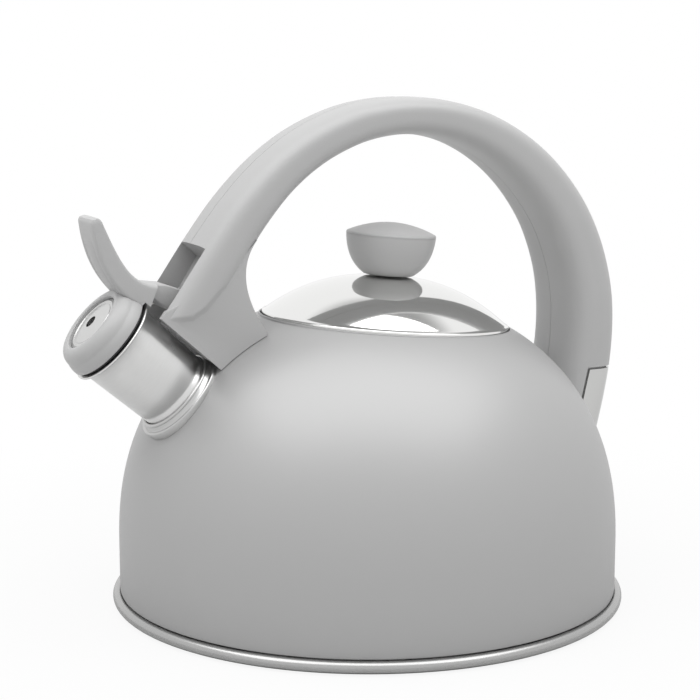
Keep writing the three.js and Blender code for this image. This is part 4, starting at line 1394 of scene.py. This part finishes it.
class KETTLE_OT_stage(KettleOperator):
    """Pale floor, one soft lamp overhead, white surroundings and the camera."""

    bl_idname = "kettle.stage"
    bl_label = "Stage"

    def build(self, sizes):
        self.floor()
        self.surroundings()
        self.lamp("overhead", LAMP_SPOT, LAMP_SIZE, LAMP_POWER)
        self.camera()
        bpy.context.scene.view_settings.view_transform = "Standard"

    @staticmethod
    def seen(net):
        """1 for rays that show the surroundings: those of the camera, and of mirrors and glass."""
        rays = net.node("ShaderNodeLightPath")
        camera, glossy, through = (
            Term(net, rays.outputs[name])
            for name in ("Is Camera Ray", "Is Glossy Ray", "Is Transmission Ray")
        )
        return camera, glossy.maths("MAXIMUM", glossy, through)

    def floor(self):
        reach = FLOOR_HALF
        corners = [(-reach, -reach, 0), (reach, -reach, 0), (reach, reach, 0), (-reach, reach, 0)]
        floor = new_object("floor", corners, [(0, 1, 2, 3)])
        made = bpy.data.materials.new("pale floor")
        made.use_nodes = True
        made.node_tree.nodes.clear()
        net = Net(made.node_tree)
        camera, glossy = self.seen(net)
        place = net.add("ShaderNodeTexCoord", out=3)
        away = net.add("ShaderNodeVectorMath", {"operation": "LENGTH"}, place, out=1)
        cloud = net.noise(place, 3.0, 3.0)
        tone = net.blend(cloud, (0.60, 0.60, 0.60, 1), (0.62, 0.62, 0.62, 1))
        matt = net.add("ShaderNodeBsdfDiffuse", None, tone)
        white = net.add("ShaderNodeEmission", None, (1, 1, 1, 1), 1.0)
        share = (away.step(0.14, 0.35) * 0.1 + 0.9) * camera
        share = share + away.step(0.16, 0.6) * glossy * (1.0 - camera) * 0.7
        mixed = net.add("ShaderNodeMixShader", None, share, matt, white)
        net.node("ShaderNodeOutputMaterial", None, mixed)
        floor.data.materials.append(made)
        floor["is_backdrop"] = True

    def surroundings(self):
        world = bpy.data.worlds.new("studio")
        bpy.context.scene.world = world
        world.use_nodes = True
        world.node_tree.nodes.clear()
        net = Net(world.node_tree)
        camera, glossy = self.seen(net)
        way = net.add("ShaderNodeTexCoord", out=0)
        up = net.add("ShaderNodeSeparateXYZ", None, way, out=2)
        mirrored = 1.0 - up.step(0.74, 0.9) * 0.6
        strength = camera + (1.0 - camera) * (glossy * mirrored + (1.0 - glossy) * 0.72)
        light = net.add("ShaderNodeBackground", None, (1, 1, 1, 1), strength)
        net.node("ShaderNodeOutputWorld", None, light)

    @staticmethod
    def lamp(name, spot, size, power):
        """A soft box that faces straight down, square to the camera."""
        data = bpy.data.lights.new(name, "AREA")
        data.shape = "RECTANGLE"
        data.size, data.size_y = size
        data.energy = power
        lamp = bpy.data.objects.new(name, data)
        bpy.context.scene.collection.objects.link(lamp)
        lamp.location = Vector(spot) * MM
        lamp.rotation_euler = (0, 0, math.radians(CAMERA_AZIMUTH))

    @staticmethod
    def camera():
        azimuth, rise = math.radians(CAMERA_AZIMUTH), math.radians(CAMERA_RISE)
        level = math.cos(rise)
        back = Vector((math.sin(azimuth) * level, -math.cos(azimuth) * level, math.sin(rise)))
        data = bpy.data.cameras.new("camera")
        data.sensor_width = CAMERA_SENSOR
        data.lens = CAMERA_LENS
        camera = bpy.data.objects.new("camera", data)
        bpy.context.scene.collection.objects.link(camera)
        camera.location = (Vector(CAMERA_TARGET) + back * CAMERA_DISTANCE) * MM
        camera.rotation_euler = (-back).to_track_quat("-Z", "Y").to_euler()
        bpy.context.scene.camera = camera


OPERATORS = (
    KETTLE_OT_body,
    KETTLE_OT_base,
    KETTLE_OT_lid,
    KETTLE_OT_spout,
    KETTLE_OT_whistle,
    KETTLE_OT_lever,
    KETTLE_OT_handle,
    KETTLE_OT_bracket,
    KETTLE_OT_fixings,
    KETTLE_OT_frame_nodes,
    KETTLE_OT_stage,
)


class KETTLE_PT_panel(bpy.types.Panel):
    """Lists the kettle's pieces, its sizes and its finishes."""

    bl_idname = "KETTLE_PT_panel"
    bl_label = "Whistling kettle"
    bl_space_type = "VIEW_3D"
    bl_region_type = "UI"
    bl_category = "Kettle"

    def draw(self, context):
        for group in (context.scene.kettle_sizes, context.scene.kettle_finish):
            for key in group.bl_rna.properties.keys():
                if key not in {"rna_type", "name"}:
                    self.layout.prop(group, key)
        for operator in OPERATORS:
            self.layout.operator(operator.bl_idname)


CLASSES = (KettleSizes, KettleFinish, *OPERATORS, KETTLE_PT_panel)


def register():
    for made in CLASSES:
        bpy.utils.register_class(made)
    bpy.types.Scene.kettle_sizes = bpy.props.PointerProperty(type=KettleSizes)
    bpy.types.Scene.kettle_finish = bpy.props.PointerProperty(type=KettleFinish)


def unregister():
    del bpy.types.Scene.kettle_finish
    del bpy.types.Scene.kettle_sizes
    for made in reversed(CLASSES):
        bpy.utils.unregister_class(made)


def main():
    register()
    for operator in OPERATORS:
        group, _, name = operator.bl_idname.partition(".")
        getattr(getattr(bpy.ops, group), name)()
    spans = {"cad": CAD_BOUNDS, "visual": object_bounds()}
    {key: [list(low), list(high)] for key, (low, high) in spans.items()}


if __name__ == "__main__":
    main()
